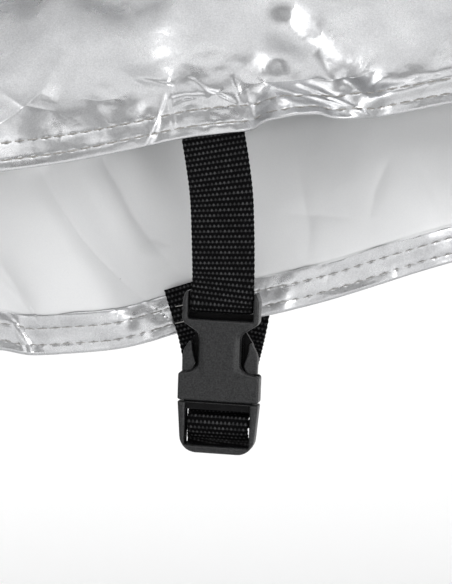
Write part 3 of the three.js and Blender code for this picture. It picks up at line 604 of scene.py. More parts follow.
def panel_face(side, face):
    """One face of a panel: points, faces, place on the cloth, and its edge in order."""
    along, level, faces = net_of(side, face)
    rise = rise_of(side, along, level)
    ply = (level <= HEM_FOLD) & (np.abs(along) < END)
    cloth = cloth_middle(side, along, rise)
    outward = net_facing(side, cloth, faces)
    points = laid_on(face, cloth, outward, face_depth(side, face, along, rise, ply.astype(float)))
    number = np.arange(len(along))

    def border(members, by):
        members = number[members]
        return members[np.argsort(by[members])]

    hem = border(level == 0.0, along)
    front = border(along == END, level)
    ridge = border(level == NET_TOP, -along)
    rear = border(along == -END, -level)
    seam = np.concatenate([front, ridge[1:-1], rear])
    middle_y = side * (GAP + CLOTH) / 2
    square = np.array([0.0, -side, 0.0])
    middle = cloth[seam].copy()
    middle[:, 1] = middle_y
    mitre = outward[seam] + square
    mitre *= (CLOTH / 2 / (1.0 + outward[seam] @ square))[:, None]
    way = 1.0 if face == OUTSIDE else -1.0
    points[seam] = middle + way * mitre
    before, after = np.roll(middle, 1, axis=0), np.roll(middle, -1, axis=0)
    before[0], after[-1] = middle[0], middle[-1]
    inward = unit(np.stack([before[:, 2] - after[:, 2], np.zeros(len(seam)),
                            after[:, 0] - before[:, 0]], axis=1))
    turned = middle + inward * SEAM_TURN + way * square * CLOTH / 2
    points = np.concatenate([points, turned])
    points[:, 1] = side * np.maximum(GAP / 2, side * points[:, 1])
    first = len(along)
    for k in range(len(seam) - 1):
        faces.append([seam[k + 1], seam[k], first + k, first + k + 1])
    travel = np.concatenate([along[hem] + END, 2 * END + level[front],
                             2 * END + NET_TOP + END - along[ridge[1:-1]],
                             4 * END + 2 * NET_TOP - level[rear]])
    ring = np.concatenate([hem, first + np.arange(len(seam))])
    place = np.stack([np.concatenate([along, along[seam]]),
                      np.concatenate([rise, rise[seam]]),
                      np.full(len(points), float(face))], axis=1)
    turned_up = np.concatenate([ply, np.zeros(len(seam), bool)])
    return dict(points=points, faces=faces, place=place, ply=turned_up, ring=ring, travel=travel)


def zip_rings(first, second):
    """Faces between two closed rings that have different knots."""
    a, b = list(first["ring"]), list(second["ring"])
    at_a, at_b = list(first["travel"]), list(second["travel"])
    faces, i, j = [], 0, 0
    while i < len(a) or j < len(b):
        next_a = at_a[i + 1] if i + 1 < len(a) else 1e9
        next_b = at_b[j + 1] if j + 1 < len(b) else 1e9
        if i < len(a) and (next_a <= next_b or j >= len(b)):
            faces.append([a[i % len(a)], b[j % len(b)], a[(i + 1) % len(a)]])
            i += 1
        else:
            faces.append([a[i % len(a)], b[j % len(b)], b[(j + 1) % len(b)]])
            j += 1
    return faces


def side_panel(side):
    """Closed cloth of one side, with its turned-up hem and its turned-in seam edges."""
    outside, inside = panel_face(side, OUTSIDE), panel_face(side, INSIDE)
    count = len(outside["points"])
    inside["ring"] = inside["ring"] + count
    faces = [list(map(int, face)) for face in outside["faces"]]
    faces += [[int(knot) + count for knot in reversed(face)] for face in inside["faces"]]
    split = len(outside["faces"]) + len(inside["faces"])
    faces += [list(map(int, face)) for face in zip_rings(outside, inside)]
    if side == FAR:
        faces = [face[::-1] for face in faces]
    points = np.concatenate([outside["points"], inside["points"]])
    place = np.concatenate([outside["place"], inside["place"]])
    ply = np.concatenate([outside["ply"], inside["ply"]])
    mesh = new_mesh(points, faces, smooth=True)
    add_attribute(mesh, "cloth_place", place * MM)
    first_inside = len(outside["faces"])
    slots = []
    for k, face in enumerate(faces):
        bare = first_inside <= k < split and not all(ply[knot] for knot in face)
        slots.append(1 if bare else 0)
    mesh.polygons.foreach_set("material_index", slots)
    return mesh


# Meshes and objects

def new_mesh(points, faces, smooth=False):
    """A mesh in metres from points in millimetres."""
    mesh = bpy.data.meshes.new("mesh")
    mesh.from_pydata((np.asarray(points) * MM).tolist(), [], faces)
    mesh.update()
    mesh.polygons.foreach_set("use_smooth", [smooth] * len(mesh.polygons))
    return mesh


def add_attribute(mesh, name, vectors):
    attribute = mesh.attributes.new(name, "FLOAT_VECTOR", "POINT")
    attribute.data.foreach_set("vector", np.asarray(vectors, np.float32).ravel())


def new_object(name, mesh, materials, body=None):
    """A piece with its place in its mesh, riding on a body."""
    mesh.name = name
    piece = bpy.data.objects.new(name, mesh)
    bpy.context.scene.collection.objects.link(piece)
    for material in materials:
        mesh.materials.append(material)
    if body:
        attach(piece, body)
    return piece


# Webbing: flat strap along listed stations, as the solids have it

WEB_WIDTH = 25.6
WEB_THICK = 1.4
PLY_PITCH = WEB_THICK + GAP
WEFT_PITCH = 2.15
WARP_PITCH = 1.7

BUCKLE_PLACE = (-0.1, -6.0, -908.3)
BUCKLE_TURN = {"pitch": 3.0, "roll": 2.6, "yaw": -10.0}
BODY_DEPTH = 8.4
FRAME_DEPTH = 7.6
HOLLOW_DEPTH = 4.6
INNER_DEPTH = 4.0
BODY_HALF = 16.7
WINDOW_HALF = 13.3
LOOP_BAR = {"y": 0.0, "z": 39.8, "radius": 1.9}
ADJUSTER_BAR = {"y": 1.0, "z": -8.8, "radius": 1.8}
WRAP_GAP = 0.35

buckle_matrix = (Matrix.Translation(BUCKLE_PLACE)
                 @ Matrix.Rotation(math.radians(BUCKLE_TURN["yaw"]), 4, "Z")
                 @ Matrix.Rotation(math.radians(BUCKLE_TURN["roll"]), 4, "Y")
                 @ Matrix.Rotation(math.radians(BUCKLE_TURN["pitch"]), 4, "X"))


def station(x, y, z, lean, yaw):
    """Middle of the webbing and the direction of its width, from two angles in degrees."""
    tilt, turn = math.radians(lean), math.radians(yaw)
    return ((x, y, z), (math.cos(tilt) * math.cos(turn), math.cos(tilt) * math.sin(turn), math.sin(tilt)))


def buckle_station(y, z, x=0.0):
    return (tuple(buckle_matrix @ Vector((x, y, z))), tuple(buckle_matrix.to_3x3() @ Vector((1.0, 0.0, 0.0))))


def wrap_bar(place, start, finish, steps):
    """Stations round one side of a bar, between two angles in degrees."""
    reach = place["radius"] + WRAP_GAP + WEB_THICK / 2
    found = []
    for k in range(steps + 1):
        angle = math.radians(start + (finish - start) * k / steps)
        found.append(buckle_station(place["y"] + reach * math.cos(angle),
                                    place["z"] + reach * math.sin(angle)))
    return found


def near_strap_stations():
    front = [station(*row) for row in (
        (-5.4, -17, -778, 8, 0), (-3.9, -17, -789, 8, 0), (-2.4, -17, -800, 8, 0),
        (-0.5, -16.7, -812, 7, 0), (1, -16.1, -824.5, 3, -1), (1.5, -14.9, -837, 0, -3),
        (1.7, -13.6, -849, -1, -6), (1.7, -12.6, -858, -2, -9))]
    back = [((x, y + PLY_PITCH, z), across) for (x, y, z), across in reversed(front)]
    return front + wrap_bar(LOOP_BAR, 180, 390, 9) + back


FAR_SEWN = [(-11, 16.9, -860.5, 15, 0), (-8, 16.9, -870.4, 15, 0), (-5, 16.7, -880.6, 13, 0)]
FAR_STRAP_FACE = 16.15


def far_strap_stations():
    return ([station(*row) for row in FAR_SEWN + [(-3, 13.4, -889.5, 9, -5), (-1.4, 7, -898, 4, -8)]]
            + [buckle_station(6, 4, -0.6), buckle_station(5.5, -1, -0.5), buckle_station(4.4, -4.2, -0.15)]
            + wrap_bar(ADJUSTER_BAR, 75, 195, 6)
            + [buckle_station(*row) for row in (
                (-1.2, -11.6), (0.2, -13.7), (2.2, -15.6), (4.4, -16.9, -0.15), (5.9, -18.7, -0.6),
                (7.4, -19.9, -1.1), (9, -19.4, -1.5), (9.8, -17.2, -1.8), (9.7, -13, -1.9),
                (9.2, -8, -1.7), (8.8, -4, -1.2), (8.6, 0, -0.4))]
            + [station(*row) for row in (
                (2.6, 6.6, -898, -3, -8), (4.6, 14, -890.5, -5, -5), (6.6, 20.8, -883, -6, -3),
                (8.4, 23.6, -874.5, -6, 0), (10, 24.2, -863, -6, 0), (11.6, 24.2, -848, -6, 0))])


def over_far_strap(points):
    """Whether each point of the far hem has the sewn end of the far strap in front of it."""
    x, _, z, lean, _ = FAR_SEWN[1]
    tilt = math.radians(lean)
    across = (points[:, 0] - x) * math.cos(tilt) + (points[:, 2] - z) * math.sin(tilt)
    return (np.abs(across) < WEB_WIDTH / 2) & (points[:, 2] < -857.0) & (points[:, 2] > -884.0)


STRAP_STEP = WEFT_PITCH / 4
ACROSS_STEPS = 60
WEAVE_DEPTH = 0.17


def weave_swell(across, along):
    """Height of the yarns of the webbing, from 0 between them to 1 on top of each."""
    row = np.floor(along / WEFT_PITCH)
    column = across / WARP_PITCH + 0.5 * (row % 2)
    off_across, off_along = column - np.floor(column) - 0.5, along / WEFT_PITCH - row - 0.5
    return np.sqrt(np.clip(1.0 - 4.2 * off_across ** 2 - 3.4 * off_along ** 2, 0.0, 1.0))


def strap_rows(stations):
    """Stations joined by a smooth curve, at close even steps."""
    middle = np.array([place for place, _ in stations])
    across = np.array([way for _, way in stations])
    knots = np.concatenate([[0.0], np.cumsum(np.linalg.norm(np.diff(middle, axis=0), axis=1))])
    count = int(knots[-1] / STRAP_STEP)
    at = np.linspace(0.0, knots[-1], count + 1)
    columns = {"along": knots}
    for k in range(3):
        columns[f"m{k}"], columns[f"a{k}"] = middle[:, k], across[:, k]
    place = np.stack([read_table(columns, f"m{k}", at) for k in range(3)], axis=1)
    way = unit(np.stack([read_table(columns, f"a{k}", at) for k in range(3)], axis=1))
    return at, place, way


def webbing(stations, crease=None):
    """Closed woven strap with rounded edges. A crease runs slantwise over its whole width."""
    at, place, way = strap_rows(stations)
    run = unit(np.gradient(place, axis=0))
    face = unit(np.cross(run, way))
    way = unit(np.cross(face, run))
    share = np.linspace(-1.0, 1.0, ACROSS_STEPS + 1)
    both = np.concatenate([share, share[::-1]])
    front = np.concatenate([np.ones(len(share)), -np.ones(len(share))])
    half = WEB_WIDTH / 2 - 0.15 + 0.12 * np.cos(2.0 * math.pi * at / WEFT_PITCH)
    swell = weave_swell(both[None, :] * WEB_WIDTH / 2 + np.where(front > 0, 0.0, WARP_PITCH / 2), at[:, None])
    edge = 1.0 - 0.8 * np.abs(both) ** 12
    depth = front * (edge * WEB_THICK / 2 - WEAVE_DEPTH * (1.0 - swell) * edge)
    if crease:
        off = at[:, None] - crease["at"] - crease["slant"] * both[None, :] * WEB_WIDTH / 2
        depth = depth + crease["height"] * np.exp(-np.abs(off) / crease["width"])
    points = (place[:, None, :] + way[:, None, :] * (both[None, :, None] * half[:, None, None])
              + face[:, None, :] * depth[:, :, None])
    count = len(both)
    faces = []
    for row in range(len(at) - 1):
        for k in range(count):
            a, b = row * count + k, row * count + (k + 1) % count
            faces.append([a, b, b + count, a + count])
    last = (len(at) - 1) * count
    for k in range(ACROSS_STEPS):
        other = count - 1 - k
        faces.append([k + 1, k, other, other - 1])
        faces.append([last + k, last + k + 1, last + other - 1, last + other])
    mesh = new_mesh(points.reshape(-1, 3), faces, smooth=True)
    flat_across = both * WEB_WIDTH / 2 + np.where(front > 0, 0.0, WARP_PITCH / 2)
    pattern = np.stack([np.tile(flat_across, len(at)), np.repeat(at, count),
                        np.zeros(len(at) * count)], axis=1)
    add_attribute(mesh, "strap_place", pattern * MM)
    return mesh


# Buckle: plates with rounded edges, from their outlines in the front view

BODY_OUTLINE = [
    (BODY_HALF, 0.3, 0.8), (BODY_HALF, 11.4, 1.4), (9, 12.9, 4.4), (9, 28.2, 3.4), (15.7, 32.4, 3),
    (15.7, 42, 2.4), (14.5, 44.9, 0.9), (13.4, 44.9, 0.3), (13.4, 33.6, 0.8)]
GUARD_OUTLINE = [(14.4, 9.5, 0), (14.7, 17.5, 6), (12.8, 24, 4), (9, 29.8, 0.5)]
GUARD = {"y": 3.3, "depth": 1.7}
THROAT_OUTLINE = [(13.7, 32, 0), (13.7, 36.1, 0)]
THROAT = {"y": 2.9, "depth": 2.2}
HOLLOW_OUTLINE = [(14.4, -1, 0), (14.4, 11.2, 0), (18, 11.2, 0), (18, 27, 0), (11.6, 30.4, 0)]
FRAME_OUTLINE = [(15, -21.4, 7), (BODY_HALF, -0.4, 0.6)]
FRAME_WINDOW = [(WINDOW_HALF, -18.3, 0.8), (WINDOW_HALF, -0.9, 0.4)]
CROSSBAR_OUTLINE = [(14.1, -3.6, 0), (14.1, 3, 0), (3.2, 3, 0), (3.2, 26, 1.6)]
ARM_OUTLINE = [
    (11.3, 3.4, 0.9), (13.5, 3.4, 0.9), (13.6, 11.2, 0), (15.5, 12, 0.4), (15.6, 19.6, 8),
    (12, 25.8, 0.6), (11.6, 20.6, 1), (9.9, 15.2, 1), (11.3, 11.6, 1)]
CORNER_STEPS = 8


def rounded_loop(corners):
    """Outline with its corners rounded by their radii."""
    loop = []
    count = len(corners)
    for k, (x, z, radius) in enumerate(corners):
        here = np.array([x, z], float)
        if not radius:
            loop.append(here)
            continue
        back = np.array(corners[k - 1][:2], float) - here
        ahead = np.array(corners[(k + 1) % count][:2], float) - here
        back, ahead = back / np.linalg.norm(back), ahead / np.linalg.norm(ahead)
        half = math.acos(max(-1.0, min(1.0, float(back @ ahead)))) / 2
        bisector = (back + ahead) / np.linalg.norm(back + ahead)
        centre = here + bisector * radius / math.sin(half)
        reach = radius / math.tan(half)
        start, finish = here + back * reach - centre, here + ahead * reach - centre
        angle = math.atan2(start[1], start[0])
        sweep = (math.atan2(finish[1], finish[0]) - angle + math.pi) % (2 * math.pi) - math.pi
        for step in range(CORNER_STEPS + 1):
            turn = angle + sweep * step / CORNER_STEPS
            loop.append(centre + radius * np.array([math.cos(turn), math.sin(turn)]))
    return np.array(loop)


def both_halves(half):
    return list(half) + [(-x, z, radius) for x, z, radius in reversed(half)]


def even_loop(loop, step):
    """The loop with points at most a step apart."""
    found = []
    for k, point in enumerate(loop):
        ahead = loop[(k + 1) % len(loop)]
        count = max(1, int(math.ceil(np.linalg.norm(ahead - point) / step)))
        for piece in range(count):
            found.append(point + (ahead - point) * piece / count)
    return np.array(found)


def distance_to(loop, points):
    """Distance from points to a closed loop, and whether each lies in it."""
    nearest = np.full(len(points), 1e9)
    inside = np.zeros(len(points), bool)
    for a, b in zip(loop, np.roll(loop, -1, axis=0)):
        run = b - a
        off = points - a
        share = np.clip((off @ run) / max(run @ run, 1e-12), 0.0, 1.0)
        nearest = np.minimum(nearest, np.linalg.norm(off - share[:, None] * run, axis=1))
        if a[1] != b[1]:
            spans = (a[1] > points[:, 1]) != (b[1] > points[:, 1])
            inside ^= spans & (points[:, 0] < a[0] + (points[:, 1] - a[1]) * run[0] / run[1])
    return nearest, inside


EDGE_STEP = 0.4
FLAT_STEP = 0.9


def moulded_plate(corners, depth, rounding, window=(), crown=0.0, shape=None):
    """Closed plate with rounded front and back edges. shape lowers the front face."""
    loops = [even_loop(rounded_loop(corners), EDGE_STEP)]
    if window:
        loops.append(even_loop(rounded_loop(window), EDGE_STEP))
    rim = np.concatenate(loops)
    low, high = rim.min(axis=0), rim.max(axis=0)
    candidates = []
    for inset in (0.12, 0.3, 0.55, 0.85, 1.2):
        if inset > rounding * 1.15:
            continue
        for loop in loops:
            run = np.roll(loop, -1, axis=0) - np.roll(loop, 1, axis=0)
            side = unit(np.stack([-run[:, 1], run[:, 0]], axis=1))
            for way in (inset, -inset):
                candidates.append(loop + side * way)
    ringed = np.concatenate(candidates)
    grid_x, grid_z = np.meshgrid(np.arange(low[0], high[0], FLAT_STEP), np.arange(low[1], high[1], FLAT_STEP))
    grid = np.stack([grid_x.ravel(), grid_z.ravel()], axis=1)

    def depth_in(points):
        distance, inside = distance_to(loops[0], points)
        for loop in loops[1:]:
            other, in_hole = distance_to(loop, points)
            distance, inside = np.minimum(distance, other), inside & ~in_hole
        return np.where(inside, distance, -1.0)

    ring_depth = depth_in(ringed)
    wanted = np.concatenate([np.full(len(c), w) for c, w in zip(
        candidates,
        [i for i in (0.12, 0.3, 0.55, 0.85, 1.2) if i <= rounding * 1.15 for _ in range(2 * len(loops))])])
    kept = ringed[ring_depth > 0.97 * wanted]
    grid = grid[depth_in(grid) > max(rounding * 1.15, 0.5) + 0.25]
    flat = np.concatenate([rim, kept, grid])
    edges, start = [], 0
    for loop in loops:
        edges += [(start + k, start + (k + 1) % len(loop)) for k in range(len(loop))]
        start += len(loop)
    found, _, triangles, *_ = geometry.delaunay_2d_cdt([Vector(p) for p in flat], edges, [], 0, 1e-5)
    found = np.array([tuple(p) for p in found])
    triangles = np.array([list(t) for t in triangles])
    centres = found[triangles].mean(axis=1)
    triangles = triangles[depth_in(centres) > 0.0]
    on_rim = np.array([np.min(np.linalg.norm(rim - point, axis=1)) < 1e-4 for point in found])
    inset = np.where(on_rim, 0.0, np.maximum(depth_in(found), 0.0))
    curve = rounding - np.sqrt(np.maximum(rounding ** 2 - (rounding - np.minimum(inset, rounding)) ** 2, 0.0))
    bulge = crown * (1.0 - np.clip(np.abs(found[:, 0]) / max(high[0], 1e-6), 0, 1) ** 2)
    front = -(depth / 2 - curve) - bulge
    back = depth / 2 - curve
    if shape is not None:
        front = front + shape(found[:, 0], found[:, 1])
    count = len(found)
    points = np.concatenate([np.column_stack([found[:, 0], front, found[:, 1]]),
                             np.column_stack([found[:, 0], back, found[:, 1]])])
    ways = np.cross(found[triangles[:, 1]] - found[triangles[:, 0]],
                    found[triangles[:, 2]] - found[triangles[:, 0]])
    triangles = np.where((ways > 0)[:, None], triangles, triangles[:, ::-1])
    faces = [list(map(int, t)) for t in triangles]
    faces += [[int(v) + count for v in reversed(t)] for t in triangles.tolist()]
    directed = {}
    for t in triangles.tolist():
        for k in range(3):
            directed[(t[k], t[(k + 1) % 3])] = True
    for a, b in list(directed):
        if (b, a) not in directed:
            faces.append([b, a, a + count, b + count])
    return new_mesh(points, faces)


def bar_mesh(place, half_length, sides=28):
    """Closed round bar across the buckle."""
    points, faces = [], []
    stops = (-half_length, half_length)
    for x in stops:
        for k in range(sides):
            turn = 2.0 * math.pi * k / sides
            points.append((x, place["y"] + place["radius"] * math.cos(turn),
                           place["z"] + place["radius"] * math.sin(turn)))
    for k in range(sides):
        ahead = (k + 1) % sides
        faces.append([k, ahead, ahead + sides, k + sides])
    faces.append(list(range(sides))[::-1])
    faces.append(list(range(sides, 2 * sides)))
    return new_mesh(points, faces)


def prism(corners, depth, y=0.0):
    """Sharp-edged plate, to cut with or to join on."""
    loop = rounded_loop(corners)
    count = len(loop)
    points = [(x, y - depth / 2, z) for x, z in loop] + [(x, y + depth / 2, z) for x, z in loop]
    faces = [list(range(count)), list(range(2 * count - 1, count - 1, -1))]
    faces += [[k, k + count, (k + 1) % count + count, (k + 1) % count] for k in range(count)]
    return new_mesh(points, faces)


def scratch(mesh):
    piece = bpy.data.objects.new("scratch", mesh)
    bpy.context.scene.collection.objects.link(piece)
    return piece


def carved(base, steps):
    """The base mesh with other meshes cut from it or joined to it."""
    piece = scratch(base)
    others = []
    for way, mesh in steps:
        other = scratch(mesh)
        others.append(other)
        cut = piece.modifiers.new(way.lower(), "BOOLEAN")
        cut.operation, cut.object, cut.solver = way, other, "EXACT"
    bpy.context.view_layer.update()
    depsgraph = bpy.context.evaluated_depsgraph_get()
    result = bpy.data.meshes.new_from_object(piece.evaluated_get(depsgraph))
    for other in [piece, *others]:
        bpy.data.objects.remove(other)
    return result


def paint_shade_inside(mesh, corners, depth, slot_floor=1e9):
    """Gives the second material, a darker plastic that paints shade, to the walls in a plate's hollow, window
    and slot.
    """
    loop = rounded_loop(corners)
    centres = np.array([face.center for face in mesh.polygons]) / MM
    off_edge, _ = distance_to(loop, centres[:, [0, 2]])
    in_slot = (centres[:, 2] > slot_floor) & (np.abs(centres[:, 0]) < WINDOW_HALF + 0.3)
    deep = np.abs(centres[:, 1]) < depth / 2 - 1.25
    # Faces deep in the hollow, window and slot take the darker plastic as painted shade.
    mesh.polygons.foreach_set("material_index", (deep & ((off_edge > 0.2) | in_slot)).astype(int))


def settle(mesh, sharp=32.0):
    """Puts a buckle mesh in its place on the strap, smooth except at its sharp edges."""
    mesh.transform(Matrix.Scale(1.0 / MM, 4))
    mesh.transform(buckle_matrix)
    mesh.transform(Matrix.Scale(MM, 4))
    mesh.polygons.foreach_set("use_smooth", [True] * len(mesh.polygons))
    mesh.set_sharp_from_angle(angle=math.radians(sharp))
    mesh.update()
    return mesh


def body_relief(x, z):
    """Front face of the buckle's body: the neck's long bevels fall away to its sides."""
    side = np.abs(x)
    neck = smoothstep(11.0, 15.0, z) * (1.0 - smoothstep(26.0, 31.0, z))
    return neck * 1.5 * smoothstep(5.6, 9.0, side)


def buckle_body():
    plate = moulded_plate(both_halves(BODY_OUTLINE), BODY_DEPTH, 1.1, crown=0.25, shape=body_relief)
    body = carved(plate, [("DIFFERENCE", prism(both_halves(HOLLOW_OUTLINE), HOLLOW_DEPTH)),
                          ("UNION", prism(both_halves(GUARD_OUTLINE), GUARD["depth"], GUARD["y"])),
                          ("UNION", prism(both_halves(THROAT_OUTLINE), THROAT["depth"], THROAT["y"])),
                          ("UNION", bar_mesh(LOOP_BAR, WINDOW_HALF + 0.5))])
    paint_shade_inside(body, both_halves(BODY_OUTLINE), BODY_DEPTH, slot_floor=33.0)
    return settle(body)


def buckle_frame():
    plate = moulded_plate(both_halves(FRAME_OUTLINE), FRAME_DEPTH, 1.2, window=both_halves(FRAME_WINDOW))
    frame_half = carved(plate, [("UNION", prism(both_halves(CROSSBAR_OUTLINE), INNER_DEPTH)),
                                ("UNION", bar_mesh(ADJUSTER_BAR, WINDOW_HALF + 0.5))])
    paint_shade_inside(frame_half, both_halves(FRAME_OUTLINE), FRAME_DEPTH)
    return settle(frame_half)


def release_arm(hand):
    corners = [(hand * x, z, radius) for x, z, radius in ARM_OUTLINE]
    if hand < 0:
        corners = corners[::-1]
    return settle(moulded_plate(corners, INNER_DEPTH, 0.6))


# Materials

class Nodes:
    """Short way to lay out a node tree: each call adds a node and joins its inputs."""

    def __init__(self, tree):
        self.tree = tree

    def __call__(self, kind, joins=None, **settings):
        node = self.tree.nodes.new(kind)
        for name, value in settings.items():
            setattr(node, name, value)
        for name, value in (joins or {}).items():
            socket = node.inputs[name]
            if isinstance(value, bpy.types.NodeSocket):
                self.tree.links.new(value, socket)
            else:
                socket.default_value = value
        return node

    def math(self, operation, *values):
        return self("ShaderNodeMath", dict(enumerate(values)), operation=operation).outputs[0]


def new_group(name, inputs, outputs):
    """An empty shader node group with named sockets."""
    group = bpy.data.node_groups.new(name, "ShaderNodeTree")
    for label, kind, value in inputs:
        socket = group.interface.new_socket(label, in_out="INPUT", socket_type=kind)
        if value is not None:
            socket.default_value = value
    for label, kind in outputs:
        group.interface.new_socket(label, in_out="OUTPUT", socket_type=kind)
    nodes = Nodes(group)
    return group, nodes, nodes("NodeGroupInput").outputs, nodes("NodeGroupOutput").inputs


def crinkle_group():
    """Fine crinkle of coated cloth: soft crumples with a finer grain on them."""
    group, nodes, given, made = new_group(
        "crinkle", [("Place", "NodeSocketVector", None), ("Crumple Scale", "NodeSocketFloat", 90.0),
                    ("Grain Scale", "NodeSocketFloat", 900.0), ("Grain Share", "NodeSocketFloat", 0.2)],
        [("Height", "NodeSocketFloat"), ("Mottle", "NodeSocketFloat"), ("Speck", "NodeSocketFloat")])
    crumple = nodes("ShaderNodeTexNoise", {"Vector": given["Place"], "Scale": given["Crumple Scale"],
                                           "Detail": 3.0, "Roughness": 0.5}, noise_dimensions="3D")
    ridged = nodes.math("ABSOLUTE", nodes.math("SUBTRACT", crumple.outputs[0], 0.5))
    grain = nodes("ShaderNodeTexNoise", {"Vector": given["Place"], "Scale": given["Grain Scale"],
                                         "Detail": 2.0})
    height = nodes.math("MULTIPLY_ADD", grain.outputs[0], given["Grain Share"],
                        nodes.math("MULTIPLY", ridged, -2.0))
    nodes.tree.links.new(height, made["Height"])
    nodes.tree.links.new(crumple.outputs[0], made["Mottle"])
    nodes.tree.links.new(grain.outputs[0], made["Speck"])
    return group


def weave_group():
    """Plain weave of staggered yarns in the piece's own flat place, with a painted highlight on the crest of
    each.
    """
    group, nodes, given, made = new_group(
        "weave", [("Place", "NodeSocketVector", None), ("Warp", "NodeSocketFloat", 0.0017),
                  ("Weft", "NodeSocketFloat", 0.00215)],
        [("Height", "NodeSocketFloat"), ("Painted Highlight", "NodeSocketFloat")])
    split = nodes("ShaderNodeSeparateXYZ", {0: given["Place"]}).outputs
    row = nodes.math("DIVIDE", split[1], given["Weft"])
    odd = nodes.math("MULTIPLY", nodes.math("FLOORED_MODULO", nodes.math("FLOOR", row), 2.0), 0.5)
    column = nodes.math("ADD", nodes.math("DIVIDE", split[0], given["Warp"]), odd)
    across = nodes.math("SUBTRACT", nodes.math("FRACT", column), 0.5)
    along = nodes.math("SUBTRACT", nodes.math("FRACT", row), 0.5)

    def oval(wide, tall):
        squares = nodes.math("ADD", nodes.math("MULTIPLY", nodes.math("MULTIPLY", across, across), wide),
                             nodes.math("MULTIPLY", nodes.math("MULTIPLY", along, along), tall))
        return nodes.math("MAXIMUM", nodes.math("SUBTRACT", 1.0, squares), 0.0)

    cell = nodes("ShaderNodeCombineXYZ", {0: nodes.math("FLOOR", column), 1: nodes.math("FLOOR", row)})
    chance = nodes("ShaderNodeTexWhiteNoise", {"Vector": cell.outputs[0]}, noise_dimensions="2D")
    shine = nodes.math("MULTIPLY_ADD", chance.outputs["Value"], 0.6, 0.4)
    nodes.tree.links.new(nodes.math("SQRT", oval(4.2, 3.4)), made["Height"])
    # Painted highlight: lighter colour on each yarn's crest and along each row, standing for light caught by
    # the yarns.
    off_line = nodes.math("SUBTRACT", along, 0.12)
    line = nodes.math("MULTIPLY_ADD", nodes.math("MULTIPLY", off_line, off_line), -50.0, 1.0)
    line = nodes.math("MAXIMUM", line, 0.0)
    painted_highlight = nodes.math("MAXIMUM", oval(9.0, 9.0), nodes.math("MULTIPLY", line, 0.3))
    nodes.tree.links.new(nodes.math("MULTIPLY", painted_highlight, shine), made["Painted Highlight"])
    return group


def new_material(name):
    material = bpy.data.materials.new(name)
    material.use_nodes = True
    material.node_tree.nodes.clear()
    nodes = Nodes(material.node_tree)
    shader = nodes("ShaderNodeBsdfPrincipled")
    nodes("ShaderNodeOutputMaterial", {"Surface": shader.outputs[0]})
    return material, nodes, shader


def join(nodes, output, socket):
    nodes.tree.links.new(output, socket)


def mix_colours(nodes, factor, first, second):
    mix = nodes("ShaderNodeMix", data_type="RGBA")
    if isinstance(factor, bpy.types.NodeSocket):
        join(nodes, factor, mix.inputs[0])
    else:
        mix.inputs[0].default_value = factor
    for socket, colour in ((mix.inputs[6], first), (mix.inputs[7], second)):
        if isinstance(colour, bpy.types.NodeSocket):
            join(nodes, colour, socket)
        else:
            socket.default_value = (*colour, 1.0)
    return mix.outputs[2]


def spread(nodes, value, low, high, to_low=0.0, to_high=1.0):
    return nodes("ShaderNodeMapRange", {"Value": value, "From Min": low, "From Max": high,
                                        "To Min": to_low, "To Max": to_high}).outputs[0]


def coated_cloth(name, group, pale, dark, roughness, metallic, crumple, depth):
    """Cloth with a thin coating: satin, with fine crinkles."""
    material, nodes, shader = new_material(name)
    place = nodes("ShaderNodeTexCoord").outputs["Object"]
    crinkle = nodes("ShaderNodeGroup", node_tree=group)
    join(nodes, place, crinkle.inputs["Place"])
    crinkle.inputs["Crumple Scale"].default_value = crumple
    crinkle.inputs["Grain Scale"].default_value = 1800.0
    crinkle.inputs["Grain Share"].default_value = 0.06
    bump = nodes("ShaderNodeBump", {"Height": crinkle.outputs["Height"], "Distance": depth, "Strength": 1.0})
    join(nodes, bump.outputs[0], shader.inputs["Normal"])
    tone = spread(nodes, nodes.math("MULTIPLY_ADD", crinkle.outputs["Mottle"], 0.4,
                                    nodes.math("MULTIPLY", crinkle.outputs["Speck"], 0.6)), 0.35, 0.65)
    join(nodes, mix_colours(nodes, tone, dark, pale), shader.inputs["Base Color"])
    join(nodes, spread(nodes, crinkle.outputs["Mottle"], 0.35, 0.65, roughness + 0.04, roughness - 0.04),
         shader.inputs["Roughness"])
    shader.inputs["Metallic"].default_value = metallic
    shader.inputs["Specular IOR Level"].default_value = 0.4
    return material


def webbing_material(group):
    material, nodes, shader = new_material("black_webbing")
    place = nodes("ShaderNodeAttribute", attribute_name="strap_place").outputs["Vector"]
    weave = nodes("ShaderNodeGroup", node_tree=group)
    join(nodes, place, weave.inputs["Place"])
    weave.inputs["Warp"].default_value = WARP_PITCH * MM
    weave.inputs["Weft"].default_value = WEFT_PITCH * MM
    fuzz = nodes("ShaderNodeTexNoise", {"Vector": place, "Scale": 2600.0, "Detail": 3.0})
    height = nodes.math("MULTIPLY_ADD", fuzz.outputs[0], 0.3, weave.outputs["Height"])
    bump = nodes("ShaderNodeBump", {"Height": height, "Distance": 0.00015, "Strength": 1.0})
    join(nodes, bump.outputs[0], shader.inputs["Normal"])
    # The weave's painted highlight lightens the colour of the yarn crests.
    join(nodes, mix_colours(nodes, weave.outputs["Painted Highlight"], (0.0022, 0.0022, 0.0024), (0.058, 0.058, 0.06)),
         shader.inputs["Base Color"])
    shader.inputs["Roughness"].default_value = 0.6
    shader.inputs["Specular IOR Level"].default_value = 0.02
    return material


def plastic_material(name, dark, pale, gloss):
    """Moulded plastic with a fine grain."""
    material, nodes, shader = new_material(name)
    place = nodes("ShaderNodeTexCoord").outputs["Object"]
    grain = nodes("ShaderNodeTexNoise", {"Vector": place, "Scale": 1500.0, "Detail": 2.0, "Roughness": 0.6})
    bump = nodes("ShaderNodeBump", {"Height": grain.outputs[0], "Distance": 0.00025, "Strength": 1.0})
    join(nodes, bump.outputs[0], shader.inputs["Normal"])
    join(nodes, mix_colours(nodes, spread(nodes, grain.outputs[0], 0.3, 0.7), dark, pale),
         shader.inputs["Base Color"])
    join(nodes, spread(nodes, grain.outputs[0], 0.3, 0.7, 0.3, 0.42), shader.inputs["Roughness"])
    shader.inputs["Specular IOR Level"].default_value = gloss
    return material


